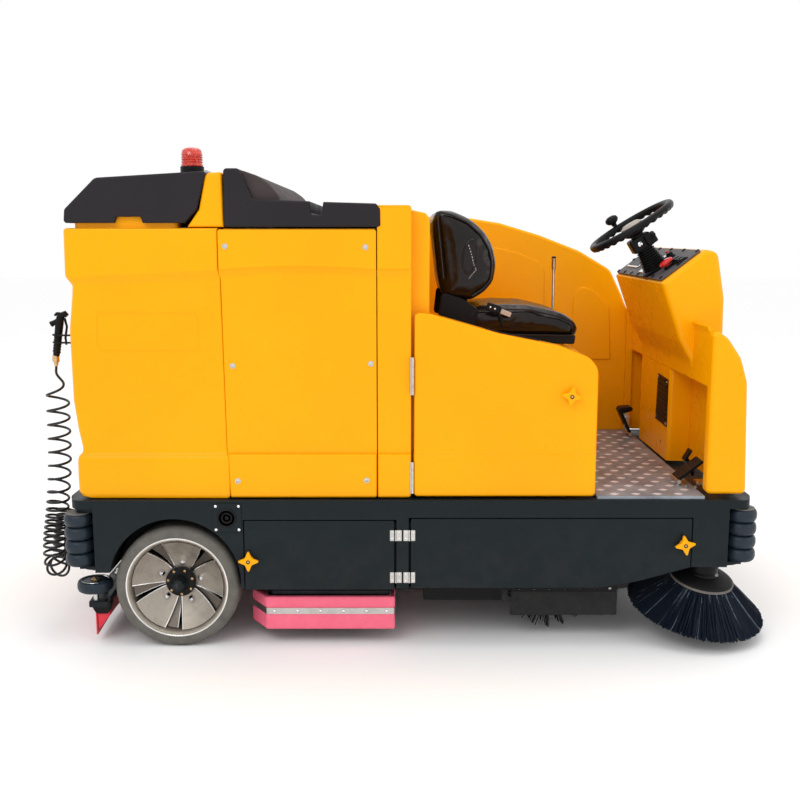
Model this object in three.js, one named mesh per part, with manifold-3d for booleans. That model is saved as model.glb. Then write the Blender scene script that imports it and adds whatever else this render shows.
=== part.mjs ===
// Ride-on scrubber: a battery floor-cleaning machine with a side entry to the driver's seat.
// Millimetres. +X is the direction of travel, +Y the driver's left, +Z up.
// The origin is on the floor under the middle of the machine, which stands on its three wheels
// with the scrub deck, squeegee and side brushes raised for transport.

import * as THREE from 'three';
import { mergeVertices } from 'three/addons/utils/BufferGeometryUtils.js';
import Module from 'manifold-3d';

const wasm = await Module();
wasm.setup();

// ---------------------------------------------------------------- driving dimensions
const GAP = 0.4;                 // clearance kept between touching pieces
const HALF_WIDTH = 640;          // chassis
const BODY_HALF = 620;           // yellow bodywork
const SIDE_THICK = 14;           // chassis side plates
const CHASSIS_REAR = -1078;
const CHASSIS_FRONT = 1087;
const SKIRT_BOTTOM = 215;        // lower edge of the chassis sides
const DECK_BOTTOM = 500;
const DECK_TOP = 525;
const BODY_FLOOR = 527;          // underside of the bodywork
const BODY_TOP = 1437;           // rim of the tanks, under the lids

const WHEEL_X = -802;            // rear axle
const WHEEL_RADIUS = 215;
const WHEEL_WIDTH = 132;
const WHEEL_MID = 566;           // centre plane of each rear wheel
const RIM_RADIUS = 166;
const ARCH_RADIUS = 226;
const AXLE_RADIUS = 20;

const FRONT_WHEEL_X = 860;
const FRONT_WHEEL_RADIUS = 200;
const FRONT_WHEEL_WIDTH = 110;

const TANK_REAR = -1127;
const TANK_FRONT = -619;
const PANEL_FRONT = -116;
const PILLAR_FRONT = 4;
const WALL_FRONT = 66;           // driver's face of the partition behind the seat

const DRIVER_Y = -150;           // seat and steering are right of centre
const CONSOLE_SLOPE = 37.2 * Math.PI / 180;
const CONSOLE_REAR = [887, 1249];
const CONSOLE_FRONT = [1041, 1366];
const CONSOLE_HALF = 392;
const STEER_TILT = 32 * Math.PI / 180;
const STEER_HUB = [838, 1431];
const STEER_RADIUS = 157;

const ROLLER_X = { rear: -1140, front: 1145 };
const ROLLER_Y = 590;
const ROLLER_RADIUS = 50;
const ROLLER_BASE = { rear: 287, front: 303 };
const ROLLER_HEIGHT = 186;

const SCRUB_X = [-558, -51];
const SCRUB_HALF = 612;
const SCRUB_BRUSH_RADIUS = 236;
const BROOM_X = 500;
const BROOM_RADIUS = 148;
const BRUSH_AT = [1030, 475, 92];    // centre of a side brush's bristle tips, Y mirrored
const BRUSH_RADIUS = 242;
const BRUSH_FORWARD = 7 * Math.PI / 180;
const BRUSH_OUTWARD = 11 * Math.PI / 180;
const BRUSH_TOP = 140;                // height of the brush's disc over its tips

const HOSE_TAP = [-300, 470];    // Y, Z of the wash hose's outlet on the tail

const SIDES = [['right', -1], ['left', 1]];

// ---------------------------------------------------------------- materials
const finish = (color, roughness, metalness = 0) =>
  new THREE.MeshStandardMaterial({ color, roughness, metalness });
const YELLOW = finish(0xffb400, 0.32);
const CHARCOAL = finish(0x3a363a, 0.6);
const SLATE = finish(0x2c3639, 0.45, 0.2);
const RUBBER = finish(0x23282c, 0.8);
const TYRE = finish(0x5a534e, 0.85);
const ALLOY = finish(0xb3a9a0, 0.35, 0.9);
const TREAD = finish(0x9a928c, 0.4, 0.9);
const PANEL = finish(0x6d666b, 0.6);
const VINYL = finish(0x141417, 0.35);
const BLACK = finish(0x17181a, 0.5);
const CHROME = finish(0xd0d2d4, 0.15, 1);
const RED = finish(0xd1231f, 0.3);
const PINK = finish(0xf06a86, 0.55);
const SQUEEGEE = finish(0xc93a3c, 0.5);
const BRISTLE = finish(0x1b2338, 0.8);

// ---------------------------------------------------------------- solids
function signedVolume(points, triangles) {
  const corner = (i) => new THREE.Vector3().fromArray(points, triangles[i] * 3);
  let total = 0;
  for (let i = 0; i < triangles.length; i += 3) {
    total += corner(i).dot(corner(i + 1).cross(corner(i + 2)));
  }
  return total / 6;
}

// A closed geometry as a solid: shared vertices merged, slivers dropped, faces outward.
function solid(geometry) {
  geometry.deleteAttribute('normal');
  geometry.deleteAttribute('uv');
  const merged = mergeVertices(geometry, 1e-3);
  const points = new Float32Array(merged.attributes.position.array);
  const index = [];
  for (let i = 0; i < merged.index.count; i += 3) {
    const [a, b, c] = merged.index.array.slice(i, i + 3);
    if (a !== b && b !== c && c !== a) index.push(a, b, c);
  }
  if (signedVolume(points, index) < 0) index.reverse();
  const triVerts = new Uint32Array(index);
  return new wasm.Manifold(new wasm.Mesh({ numProp: 3, vertProperties: points, triVerts }));
}

const join = (first, ...others) => others.reduce((whole, piece) => whole.add(piece), first);
const cut = (first, ...others) => others.reduce((whole, piece) => whole.subtract(piece), first);

// An outline through [x, y, corner reach] points. A rounded corner starts its reach before the
// point, or less where the next corner is near.
function outline(corners) {
  const shape = new THREE.Shape();
  corners.forEach(([x, y, radius = 0], i) => {
    const corner = new THREE.Vector2(x, y);
    const ways = [corners.at(i - 1), corners[(i + 1) % corners.length]]
      .map((other) => new THREE.Vector2(other[0], other[1]).sub(corner));
    const reach = Math.min(radius, ...ways.map((way) => way.length() * 0.45));
    const [start, end] = ways.map((way) => corner.clone().addScaledVector(way.normalize(), reach));
    if (i === 0) shape.moveTo(start.x, start.y);
    else shape.lineTo(start.x, start.y);
    if (radius > 0) shape.quadraticCurveTo(x, y, end.x, end.y);
  });
  return shape;
}

const rectangle = (x0, x1, y0, y1, radius = 0) =>
  outline([[x0, y0, radius], [x1, y0, radius], [x1, y1, radius], [x0, y1, radius]]);

function prism(shape, depth, bevel = 0) {
  return new THREE.ExtrudeGeometry(shape, {
    depth: depth - 2 * bevel, curveSegments: 3, bevelEnabled: bevel > 0,
    bevelThickness: bevel, bevelSize: bevel, bevelOffset: -bevel, bevelSegments: 1,
  }).translate(0, 0, bevel);
}

// Prisms of an outline drawn in plan and in side view (X, Z).
const planSlab = (shape, z0, z1, bevel) => solid(prism(shape, z1 - z0, bevel).translate(0, 0, z0));
const sideSlab = (shape, y0, y1, bevel) =>
  solid(prism(shape, Math.abs(y1 - y0), bevel).rotateX(Math.PI / 2)
    .translate(0, Math.max(y0, y1), 0));
const box = (x0, x1, y0, y1, z0, z1) =>
  solid(new THREE.BoxGeometry(Math.abs(x1 - x0), Math.abs(y1 - y0), Math.abs(z1 - z0))
    .translate((x0 + x1) / 2, (y0 + y1) / 2, (z0 + z1) / 2));

// Turned pieces from [radius, height] points, about Z or Y through a point.
const latheGeometry = (profile, sides) =>
  new THREE.LatheGeometry(profile.map(([r, h]) => new THREE.Vector2(r, h)), sides);
const turnedZ = (profile, [x, y, z], sides = 16) =>
  solid(latheGeometry(profile, sides).rotateX(Math.PI / 2).translate(x, y, z));
const turnedY = (profile, [x, y, z], sides = 16) =>
  solid(latheGeometry(profile, sides).translate(x, y, z));
const rod = (radius, length) => [[0, 0], [radius, 0], [radius, length], [0, length]];

// A round or flat bar between two points.
function bar([x0, y0, z0], [x1, y1, z1], radius, sides = 10) {
  const from = new THREE.Vector3(x0, y0, z0);
  const way = new THREE.Vector3(x1, y1, z1).sub(from);
  const turn = new THREE.Quaternion()
    .setFromUnitVectors(new THREE.Vector3(0, 1, 0), way.clone().normalize());
  return solid(latheGeometry(rod(radius, way.length()), sides).applyQuaternion(turn)
    .translate(x0, y0, z0));
}

const machine = new THREE.Group();
function place(name, material, shape, group = machine) {
  const { vertProperties, triVerts } = shape.getMesh();
  const geometry = new THREE.BufferGeometry();
  geometry.setAttribute('position', new THREE.BufferAttribute(vertProperties, 3));
  geometry.setIndex(new THREE.BufferAttribute(triVerts, 1));
  geometry.computeVertexNormals();
  const mesh = new THREE.Mesh(geometry, material);
  mesh.name = name;
  group.add(mesh);
}

function groupAt(position, rotation, parent = machine) {
  const group = new THREE.Group();
  group.position.set(...position);
  group.rotation.set(...rotation);
  parent.add(group);
  return group;
}

// ---------------------------------------------------------------- chassis
function chassisFrame() {
  const deck = planSlab(outline([
    [-1122, -540], [CHASSIS_REAR, -624], [CHASSIS_FRONT, -624], [1122, -540],
    [1122, 540], [CHASSIS_FRONT, 624], [CHASSIS_REAR, 624], [-1122, 540],
  ]), DECK_BOTTOM, DECK_TOP);
  const pieces = [];
  const ends = [['rear', CHASSIS_REAR, -1122, 240], ['front', CHASSIS_FRONT, 1122, 290]];
  for (const [end, inner, outer, low] of ends) {
    pieces.push(box(inner, outer, -520, 520, low, DECK_BOTTOM + 1));
    for (const [, sign] of SIDES) {
      const y = sign * ROLLER_Y;
      const x = ROLLER_X[end];
      const foot = ROLLER_BASE[end];
      const head = foot + ROLLER_HEIGHT;
      const arm = [Math.min(inner, x), Math.max(inner, x), sign * 500, y + sign * 18];
      pieces.push(box(...arm, foot - 12, foot - 2));
      pieces.push(box(...arm, head + 2, Math.max(head + 12, DECK_BOTTOM + 1)));
      pieces.push(turnedZ(rod(8, ROLLER_HEIGHT + 8), [x, y, foot - 4], 12));
    }
  }
  for (const [, sign] of SIDES) {
    pieces.push(box(CHASSIS_REAR, CHASSIS_FRONT, sign * 380, sign * 416, 430, DECK_BOTTOM + 1));
    pieces.push(box(WHEEL_X - 40, WHEEL_X + 40, sign * 380, sign * 416, 190, 440));
    pieces.push(bar([WHEEL_X, sign * 400, WHEEL_RADIUS], [WHEEL_X, sign * 618, WHEEL_RADIUS],
      AXLE_RADIUS, 16));
    pieces.push(box(BROOM_X - 30, BROOM_X + 30, sign * 540, sign * 552, 130, DECK_BOTTOM + 1));
    pieces.push(bar([BROOM_X, sign * 500, 165], [BROOM_X, sign * 550, 165], 14));
  }
  pieces.push(bar([-1120, HOSE_TAP[0], HOSE_TAP[1]], [-1152, HOSE_TAP[0], HOSE_TAP[1]], 14));
  pieces.push(box(WHEEL_X - 28, WHEEL_X + 28, -410, 410, 190, 242));
  pieces.push(box(FRONT_WHEEL_X - 90, FRONT_WHEEL_X + 90, -390, 390, 470, DECK_BOTTOM + 1));
  return join(deck, ...pieces);
}

// A side plate leaves the wheel arch and the service door openings free: two on the right,
// and one on the left.
function chassisSide(sign) {
  const arch = [];
  const steps = 14;
  const first = Math.asin(36 / ARCH_RADIUS);
  const last = Math.PI + Math.asin(20 / ARCH_RADIUS);
  for (let i = 0; i <= steps; i += 1) {
    const angle = Math.PI - first - (last - first) * i / steps;
    arch.push([WHEEL_X - 3 + ARCH_RADIUS * Math.cos(angle), 235 + ARCH_RADIUS * Math.sin(angle)]);
  }
  const rearOpening = [[-568, 458], [-46, 458], [-46, SKIRT_BOTTOM]];
  const plate = sideSlab(outline([
    [CHASSIS_REAR, 271], ...arch, [-568, SKIRT_BOTTOM], ...(sign < 0 ? rearOpening : []),
    [-4, SKIRT_BOTTOM], [-4, 465], [964, 465], [964, 291],
    [CHASSIS_FRONT, 290], [CHASSIS_FRONT, DECK_TOP], [CHASSIS_REAR, DECK_TOP],
  ]), sign * HALF_WIDTH, sign * (HALF_WIDTH - SIDE_THICK));
  const horn = sideSlab(rectangle(-672, -568, 413, 519, 12),
    sign * (HALF_WIDTH - 2), sign * (HALF_WIDTH + 4));
  return sign < 0 ? join(plate, horn) : plate;
}

const STEER_WELL = 46;
place('chassis_frame', SLATE, cut(chassisFrame(),
  turnedZ(rod(STEER_WELL, 80), [FRONT_WHEEL_X, 0, 460])));
for (const [side, sign] of SIDES) place(`chassis_side_${side}`, SLATE, chassisSide(sign));

function serviceDoor(corners, sign) {
  return sideSlab(outline(corners), sign * HALF_WIDTH, sign * (HALF_WIDTH - 10));
}
const REAR_DOOR = [[-565, 211], [-50, 211], [-50, 455, 6], [-565, 455, 6]];
const FRONT_DOOR = [[0, 217], [654, 217], [790, 242], [961, 291], [961, 462, 6], [0, 462, 6]];
place('right_rear_service_door', SLATE, serviceDoor(REAR_DOOR, -1));
place('right_front_service_door', SLATE, serviceDoor(FRONT_DOOR, -1));
place('left_service_door', SLATE, serviceDoor(FRONT_DOOR, 1));

// A quarter-turn latch knob with four lobes, standing on a boss.
function starKnob(x, y, z, reach) {
  const lobes = [];
  const count = 8;
  for (let i = 0; i < count; i += 1) {
    const angle = Math.PI * (2 * i + 1) / count;
    const radius = i % 2 === 0 ? reach : reach * 0.42;
    lobes.push([x + radius * Math.cos(angle), z + radius * Math.sin(angle), i % 2 === 0 ? 4 : 6]);
  }
  const boss = turnedY(rod(reach * 0.36, 18), [x, y - 18, z], 16);
  return join(boss, sideSlab(outline(lobes), y - 10, y - 24));
}
place('rear_door_knob', YELLOW, starKnob(-550, -HALF_WIDTH - GAP, 317, 36));
place('front_door_knob', YELLOW, starKnob(936, -HALF_WIDTH - GAP, 373, 36));

function bumperRoller(end, sign) {
  const stack = 4;
  const pitch = ROLLER_HEIGHT / stack;
  const profile = [[9, 0]];
  for (let i = 0; i < stack; i += 1) {
    const z = i * pitch;
    profile.push([38, z], [ROLLER_RADIUS, z + pitch * 0.3], [ROLLER_RADIUS, z + pitch * 0.7]);
  }
  profile.push([38, ROLLER_HEIGHT], [9, ROLLER_HEIGHT], [9, 0]);
  return turnedZ(profile, [ROLLER_X[end], sign * ROLLER_Y, ROLLER_BASE[end]], 12);
}
for (const end of ['rear', 'front']) {
  for (const [side, sign] of SIDES) {
    place(`${end}_${side}_bumper_roller`, RUBBER, bumperRoller(end, sign));
  }
}

// ---------------------------------------------------------------- wheels
function wheelTyre(radius, bore, width, at) {
  const half = width / 2;
  return turnedY([
    [bore, -half + 8], [radius - 26, -half], [radius, -half + 20], [radius, half - 20],
    [radius - 26, half], [bore, half - 8], [bore, -half + 8],
  ], at, 28);
}

// An alloy rim: a barrel, a hub with the axle's bore, and five pairs of spokes.
function alloyRim(sign) {
  const half = WHEEL_WIDTH / 2 - 9;
  const at = [WHEEL_X, sign * WHEEL_MID, WHEEL_RADIUS];
  const barrel = turnedY([[142, -half], [RIM_RADIUS - GAP, -half], [RIM_RADIUS - GAP, half],
    [142, half], [142, -half]], at, 28);
  const hub = turnedY([[AXLE_RADIUS + 1.5, -half], [46, -half], [46, half], [AXLE_RADIUS + 1.5, half],
    [AXLE_RADIUS + 1.5, -half]], at, 14);
  const spokes = [];
  const pairs = 5;
  const outer = sign * (WHEEL_MID + half - 4);
  for (let i = 0; i < pairs * 2; i += 1) {
    const angle = 2 * Math.PI * Math.floor(i / 2) / pairs + (i % 2 ? 0.17 : -0.17);
    const reach = (r, turn) => [WHEEL_X + r * Math.cos(turn), WHEEL_RADIUS + r * Math.sin(turn)];
    spokes.push(sideSlab(outline([reach(40, angle - 0.22), reach(150, angle - 0.07),
      reach(150, angle + 0.07), reach(40, angle + 0.22)]), outer, outer - sign * 26));
  }
  return join(barrel, hub, ...spokes);
}
for (const [side, sign] of SIDES) {
  place(`rear_${side}_tyre`, TYRE,
    wheelTyre(WHEEL_RADIUS, RIM_RADIUS, WHEEL_WIDTH, [WHEEL_X, sign * WHEEL_MID, WHEEL_RADIUS]));
  place(`rear_${side}_rim`, ALLOY, alloyRim(sign));
}

function frontFork() {
  const armTop = FRONT_WHEEL_RADIUS * 2 + 18;
  const arms = SIDES.map(([, sign]) =>
    box(FRONT_WHEEL_X - 38, FRONT_WHEEL_X + 38, sign * 64, sign * 82, 150, armTop + 4));
  const crown = box(FRONT_WHEEL_X - 70, FRONT_WHEEL_X + 70, -82, 82, armTop, 452);
  const kingpin = turnedZ(rod(STEER_WELL - 1, 50), [FRONT_WHEEL_X, 0, 448]);
  const axle = bar([FRONT_WHEEL_X, -80, FRONT_WHEEL_RADIUS], [FRONT_WHEEL_X, 80, FRONT_WHEEL_RADIUS], 18);
  return join(crown, kingpin, axle, ...arms);
}
place('front_fork', SLATE, frontFork());
const frontWheelAt = [FRONT_WHEEL_X, 0, FRONT_WHEEL_RADIUS];
place('front_wheel', TYRE, wheelTyre(FRONT_WHEEL_RADIUS, 18.5, FRONT_WHEEL_WIDTH, frontWheelAt));

// ---------------------------------------------------------------- tanks and lids
function recoveryTank() {
  const plan = (rear, half) => rectangle(rear, TANK_FRONT, -half, half, 26);
  const body = planSlab(plan(TANK_REAR + 20, BODY_HALF - 16), BODY_FLOOR, BODY_TOP);
  const skirt = planSlab(plan(TANK_REAR, BODY_HALF), BODY_FLOOR, 682, 8);
  const collar = planSlab(plan(TANK_REAR - 3, BODY_HALF), 1284, BODY_TOP, 8);
  const hollow = box(TANK_REAR + 60, TANK_FRONT - 30, -560, 560, 640, BODY_TOP + 10);
  return cut(join(body, skirt, collar), hollow);
}
place('recovery_tank', YELLOW, recoveryTank());

// The middle body holds the solution tank and carries the ridge between the lids
// and the pillars and partition behind the driver.
function centreTank() {
  const rear = TANK_FRONT + 1;
  const tank = box(rear, PANEL_FRONT + 4, -598, BODY_HALF, BODY_FLOOR, BODY_TOP - 1);
  const ridge = sideSlab(outline([[-730, 1440], [-690, 1497], [-664, 1612, 8], [-602, 1616, 8],
    [-602, 1436], [rear, 1436], [rear, 1440]]), -604, 604);
  const step = box(PANEL_FRONT + 2, -70, -BODY_HALF, BODY_HALF, BODY_FLOOR, 1432);
  const pillar = planSlab(rectangle(-92, PILLAR_FRONT, -BODY_HALF, BODY_HALF, 18),
    BODY_FLOOR, 1511, 6);
  const wall = planSlab(rectangle(PILLAR_FRONT - 40, WALL_FRONT, -560, 568, 20),
    BODY_FLOOR, 1500, 12);
  const hollow = box(rear + 24, PANEL_FRONT - 20, -570, 570, 700, BODY_TOP + 10);
  return cut(join(tank, ridge, step, pillar, wall), hollow);
}
place('centre_tank', YELLOW, centreTank());
place('side_panel_right', YELLOW, sideSlab(rectangle(TANK_FRONT + 1, PANEL_FRONT, BODY_FLOOR, 1434, 10),
  -BODY_HALF, -598 - GAP, 3));

// Lids are shells: the outline less a smaller outline, open underneath. The warning beacon stands
// on the rear lid.
const BEACON_X = -828;
const BEACON_FOOT = 1603;
const BEACON_Z = 1642;
const REAR_LID = [[-1132, 1453, 18], [-1126, 1501, 18], [-1021, 1600, 24], [-668, 1619, 18],
  [-694, 1495], [-738, 1453]];
function rearLid() {
  const outer = sideSlab(outline(REAR_LID), -622, 622, 4);
  const hollow = sideSlab(outline([[-1118, 1440], [-1114, 1496], [-1017, 1588], [-682, 1606],
    [-706, 1498], [-758, 1440]]), -606, 606);
  const grip = box(-962, -877, -640, -590, 1440, 1476);
  const beaconBase = turnedZ(rod(47, BEACON_Z - BEACON_FOOT), [BEACON_X, 0, BEACON_FOOT], 20);
  return join(cut(outer, hollow, grip), beaconBase);
}
place('rear_lid', CHARCOAL, rearLid());

function centreLid() {
  const outer = sideSlab(outline([[-591, 1440, 12], [-587, 1628, 14], [-532, 1628, 14], [-498, 1539, 12],
    [-96, 1514, 14], [-96, 1440, 12]]), -624, 624, 4);
  const hump = sideSlab(outline([[-590, 1500], [-590, 1626], [-516, 1626, 20], [-440, 1598, 40],
    [-372, 1545, 20], [-361, 1500]]), -540, 540);
  const groove = box(-310, -271, -700, 700, 1508, 1600);
  const hollow = sideSlab(outline([[-584, 1430], [-578, 1490], [-500, 1490], [-490, 1498],
    [-110, 1498], [-110, 1430]]), -610, 610);
  return cut(join(outer, hump), groove, hollow);
}
place('centre_lid', CHARCOAL, centreLid());

place('beacon_lens', RED, turnedZ([[0, 0], [42, 0], [42, 62], [36, 88], [20, 100], [0, 102]],
  [BEACON_X, 0, BEACON_Z + GAP]));

// ---------------------------------------------------------------- cab
const DOOR_INNER = -584;
place('cabin_door', YELLOW, sideSlab(outline([[12, BODY_FLOOR + 6, 12], [632, BODY_FLOOR + 6, 14],
  [630, 985, 50], [599, 1013, 40], [498, 1053, 60], [298, 1093, 60], [66, 1156, 30], [15, 1160, 14]]),
-BODY_HALF, DOOR_INNER, 6));
place('cabin_door_knob', YELLOW, starKnob(540, -BODY_HALF - GAP, 882, 33));

place('cabin_wall_left', YELLOW, sideSlab(outline([[WALL_FRONT + 1, BODY_FLOOR], [WALL_FRONT + 1, 1500, 20],
  [277, 1488, 60], [409, 1467, 60], [586, 1414, 60], [765, 1345, 60], [905, 1262, 60], [960, 1150, 30],
  [978, 1106], [1004, 1056], [1004, BODY_FLOOR]]), 572, BODY_HALF, 6));

// The seat stands on a hollow box over the battery.
function seatBase() {
  const shell = box(WALL_FRONT + 2, 600, -562, 568, BODY_FLOOR, 1010);
  const hollow = box(WALL_FRONT + 22, 580, -542, 548, BODY_FLOOR - 10, 990);
  const plinth = box(170, 560, DRIVER_Y - 180, DRIVER_Y + 180, 1009, 1052);
  return cut(join(shell, plinth), hollow);
}
place('seat_base', YELLOW, seatBase());
// The lever left of the seat raises and lowers the squeegee.
const LEVER = [585, 130, 1012];
const LEVER_TOP = 1330;
place('lift_lever', CHROME, join(
  turnedZ(rod(6, LEVER_TOP - 30 - LEVER[2]), LEVER, 12),
  turnedZ([[0, LEVER_TOP - 44], [9, LEVER_TOP - 44], [11, LEVER_TOP - 10], [6, LEVER_TOP], [0, LEVER_TOP]],
    [LEVER[0], LEVER[1], 0], 12),
));
place('battery_pack', BLACK, box(110, 560, -500, 500, BODY_FLOOR + 6, 900));
place('floor_plate', TREAD, planSlab(outline([[602, -580], [636, -580], [636, -628], [1003, -628],
  [1003, 571], [602, 571]]), BODY_FLOOR, 538));

const FOOTWELL_TOP = 905;
function frontCowl() {
  const tower = sideSlab(outline([CONSOLE_REAR, CONSOLE_FRONT, [1086, 1352, 24], [1113, 1195, 40],
    [1117, 1000], [1010, 960, 20], [962, 1029, 20]]), -CONSOLE_HALF, CONSOLE_HALF);
  const pedestal = box(1012, 1120, -90, 376, 539, 1000);
  const front = sideSlab(outline([[1117, 539], [1146, 547, 10], [1131, 930, 60], [1106, 1008, 40],
    [1092, 1040], [1092, 560], [1117, 560]]), -600, 600);
  const brow = sideSlab(outline([[992, 1126], [1059, 1076, 40], [1110, 1000, 40], [1092, 980, 30],
    [1045, 1052, 30], [984, 1106]]), -600, 600);
  const sides = SIDES.map(([, sign]) => sideSlab(outline([[1008, 540, 10], [1010, 1060, 30], [992, 1126],
    [1059, 1076, 40], [1106, 1008, 40], [1131, 930, 60], [1147, 560, 10], [1147, 540]]),
  sign * 572, sign * BODY_HALF, 6));
  const wall = box(985, 1010, -571, 571, FOOTWELL_TOP, 1108);
  return join(tower, pedestal, front, brow, wall, ...sides);
}
place('front_cowl', YELLOW, frontCowl());

// Everything on the console is built flat and tilted with the console's slope.
const consoleDeck = groupAt([CONSOLE_REAR[0], 0, CONSOLE_REAR[1]], [0, -CONSOLE_SLOPE, 0]);
const DECK_LENGTH = 180;
const STEER_FOOT = 55.5;
const BUTTON = [84, -253];
place('console_panel', PANEL, cut(planSlab(rectangle(6, DECK_LENGTH, -360, 360, 12), GAP, 8),
  turnedZ(rod(12, 40), [...BUTTON, -10], 16), turnedZ(rod(60, 40), [STEER_FOOT, DRIVER_Y, -10])),
consoleDeck);
place('emergency_stop', RED, turnedZ([[0, 8], [11, 8], [11, 22], [24, 24], [24, 34], [0, 40]],
  [...BUTTON, 0], 20), consoleDeck);

// ---------------------------------------------------------------- steering
const steering = groupAt([STEER_HUB[0], DRIVER_Y, STEER_HUB[1]], [0, -STEER_TILT, 0]);
const COLUMN_LENGTH = 173;
function steeringColumn() {
  const profile = [[0, -COLUMN_LENGTH + 6], [50, -COLUMN_LENGTH + 6]];
  const folds = 5;
  for (let i = 0; i < folds; i += 1) {
    const z = -COLUMN_LENGTH + 14 + i * 15;
    const radius = 50 - i * 3;
    profile.push([radius, z], [radius - 9, z + 8]);
  }
  profile.push([28, -82], [28, -22], [0, -22]);
  const sensorBox = box(-6, 44, -26, 26, -78, -34);
  return join(turnedZ(profile, [0, 0, 0], 12), sensorBox);
}
place('steering_column', BLACK, steeringColumn(), steering);

function steeringWheel() {
  const grip = 15;
  const ring = [];
  const facets = 8;
  for (let i = 0; i <= facets; i += 1) {
    const angle = 2 * Math.PI * i / facets;
    ring.push([STEER_RADIUS + grip * Math.cos(angle), 20 + grip * Math.sin(angle)]);
  }
  const hub = turnedZ([[0, -20], [30, -20], [44, -6], [44, 10], [30, 18], [0, 20]], [0, 0, 0], 20);
  const spokes = [0, 1, 2].map((i) => {
    const angle = Math.PI * (2 * i / 3 + 0.5);
    const at = (r) => [r * Math.cos(angle), r * Math.sin(angle)];
    return bar([...at(30), 2], [...at(STEER_RADIUS - 2), 20], 11, 8);
  });
  return join(turnedZ(ring, [0, 0, 0], 28), hub, ...spokes);
}
place('steering_wheel', BLACK, steeringWheel(), steering);
const SPINNER_ANGLE = 1.72;
place('spinner_knob', BLACK, turnedZ([[0, 0], [9, 0], [10, 8], [21, 15], [23, 30], [14, 40], [0, 42]],
  [STEER_RADIUS * Math.cos(SPINNER_ANGLE), STEER_RADIUS * Math.sin(SPINNER_ANGLE), 36], 16), steering);
place('drive_lever', CHROME, join(bar([30, -30, -56], [30, -96, -40], 5, 10),
  bar([30, -90, -41], [30, -116, -35], 9, 10)), steering);

// ---------------------------------------------------------------- pedals
function pedal(foot, top, y, width) {
  const [x0, z0] = foot;
  const [x1, z1] = top;
  const length = Math.hypot(x1 - x0, z1 - z0);
  const across = [-(z1 - z0) / length * 6, (x1 - x0) / length * 6];
  const plate = sideSlab(outline([[x0 - across[0], z0 - across[1]], [x1 - across[0], z1 - across[1]],
    [x1 + across[0], z1 + across[1]], [x0 + across[0], z0 + across[1]]]), y - width / 2, y + width / 2);
  return join(plate, bar([x0, y - width / 2 - 8, z0], [x0, y + width / 2 + 8, z0], 9));
}
place('accelerator_pedal', BLACK, pedal([955, 551], [1040, 617], -430, 80));
place('brake_pedal', BLACK, pedal([978, 551], [931, 660], 430, 70));

// ---------------------------------------------------------------- seat
const SEAT_HALF = 240;
place('seat_cushion', VINYL, sideSlab(outline([[200, 1056, 30], [640, 1070, 40], [652, 1122, 40],
  [560, 1166, 60], [200, 1176, 40]]), DRIVER_Y - SEAT_HALF, DRIVER_Y + SEAT_HALF, 8));
place('seat_back', VINYL, sideSlab(outline([[140, 1186, 30], [214, 1180, 30], [300, 1260, 60],
  [300, 1350, 60], [240, 1470, 60], [120, 1530, 40], [84, 1500, 40], [108, 1300, 60]]),
DRIVER_Y - SEAT_HALF, DRIVER_Y + SEAT_HALF, 6));

// ---------------------------------------------------------------- cleaning gear
function scrubPlan(inset) {
  const [x0, x1] = SCRUB_X;
  const half = SCRUB_HALF - inset;
  return outline([[x0 + inset, -half + 90, 12], [x0 + 60 + inset, -half, 12], [x1 - inset, -half, 8],
    [x1 - inset, half, 8], [x0 + 60 + inset, half, 12], [x0 + inset, half - 90, 12]]);
}
const SKIRT_THICK = 16;
function scrubDeck() {
  const plate = planSlab(scrubPlan(20), 176, 192);
  const mid = (SCRUB_X[0] + SCRUB_X[1]) / 2;
  const motors = SIDES.map(([, sign]) => turnedZ(rod(80, 130), [mid, sign * 290, 191]));
  return join(plate, ...motors);
}
place('scrub_deck', SLATE, scrubDeck());
place('scrub_skirt', PINK, cut(planSlab(scrubPlan(0), 57, 175), planSlab(scrubPlan(SKIRT_THICK), 50, 180)));
for (const [side, sign] of SIDES) {
  place(`scrub_brush_${side}`, BRISTLE, turnedZ([[0, 130], [60, 130], [60, 110], [130, 110],
    [SCRUB_BRUSH_RADIUS, 62], [SCRUB_BRUSH_RADIUS, 116], [120, 140], [60, 174], [0, 174]],
  [(SCRUB_X[0] + SCRUB_X[1]) / 2, sign * 290, 0], 24));
}

place('main_broom', BRISTLE, turnedY([[16, -510], [BROOM_RADIUS, -510], [BROOM_RADIUS, 510], [16, 510],
  [16, -510]], [BROOM_X, 0, 165], 20));
place('broom_flap_right', RUBBER, box(357, 730, -566, -556, 88, 200));
place('dust_hopper', BLACK, cut(box(50, 330, -520, 520, 130, 420), box(70, 340, -500, 500, 200, 400)));

// The squeegee is one bar with blades, swept forward at its ends.
function squeegeePlan(front, rear, reach) {
  const sweep = 10;
  return outline([[rear, -420, 60], [rear + sweep, -reach], [front + sweep, -reach], [front, -400, 60],
    [front, 400, 60], [front + sweep, reach], [rear + sweep, reach], [rear, 420, 60]]);
}
const squeegeeArms = SIDES.map(([, sign]) => box(-1060, -1030, sign * 200, sign * 230, 150, 236));
const GUIDE_WHEEL = [-1098, 578];
const guidePins = SIDES.map(([, sign]) =>
  turnedZ(rod(9, 80), [GUIDE_WHEEL[0], sign * GUIDE_WHEEL[1], 150], 10));
place('squeegee_bar', SLATE, join(planSlab(squeegeePlan(-1062, -1130, 596), 130, 152),
  box(-1063, -1020, -240, 240, 140, 160), ...squeegeeArms, ...guidePins));
place('squeegee_blade', SQUEEGEE, planSlab(squeegeePlan(-1092, -1110, 584), 28, 129.6));
for (const [side, sign] of SIDES) {
  place(`squeegee_wheel_${side}`, RUBBER, turnedZ([[11, 190], [56, 190], [61, 198], [61, 220], [56, 228],
    [11, 228], [11, 190]], [GUIDE_WHEEL[0], sign * GUIDE_WHEEL[1], 0], 16));
}

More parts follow.
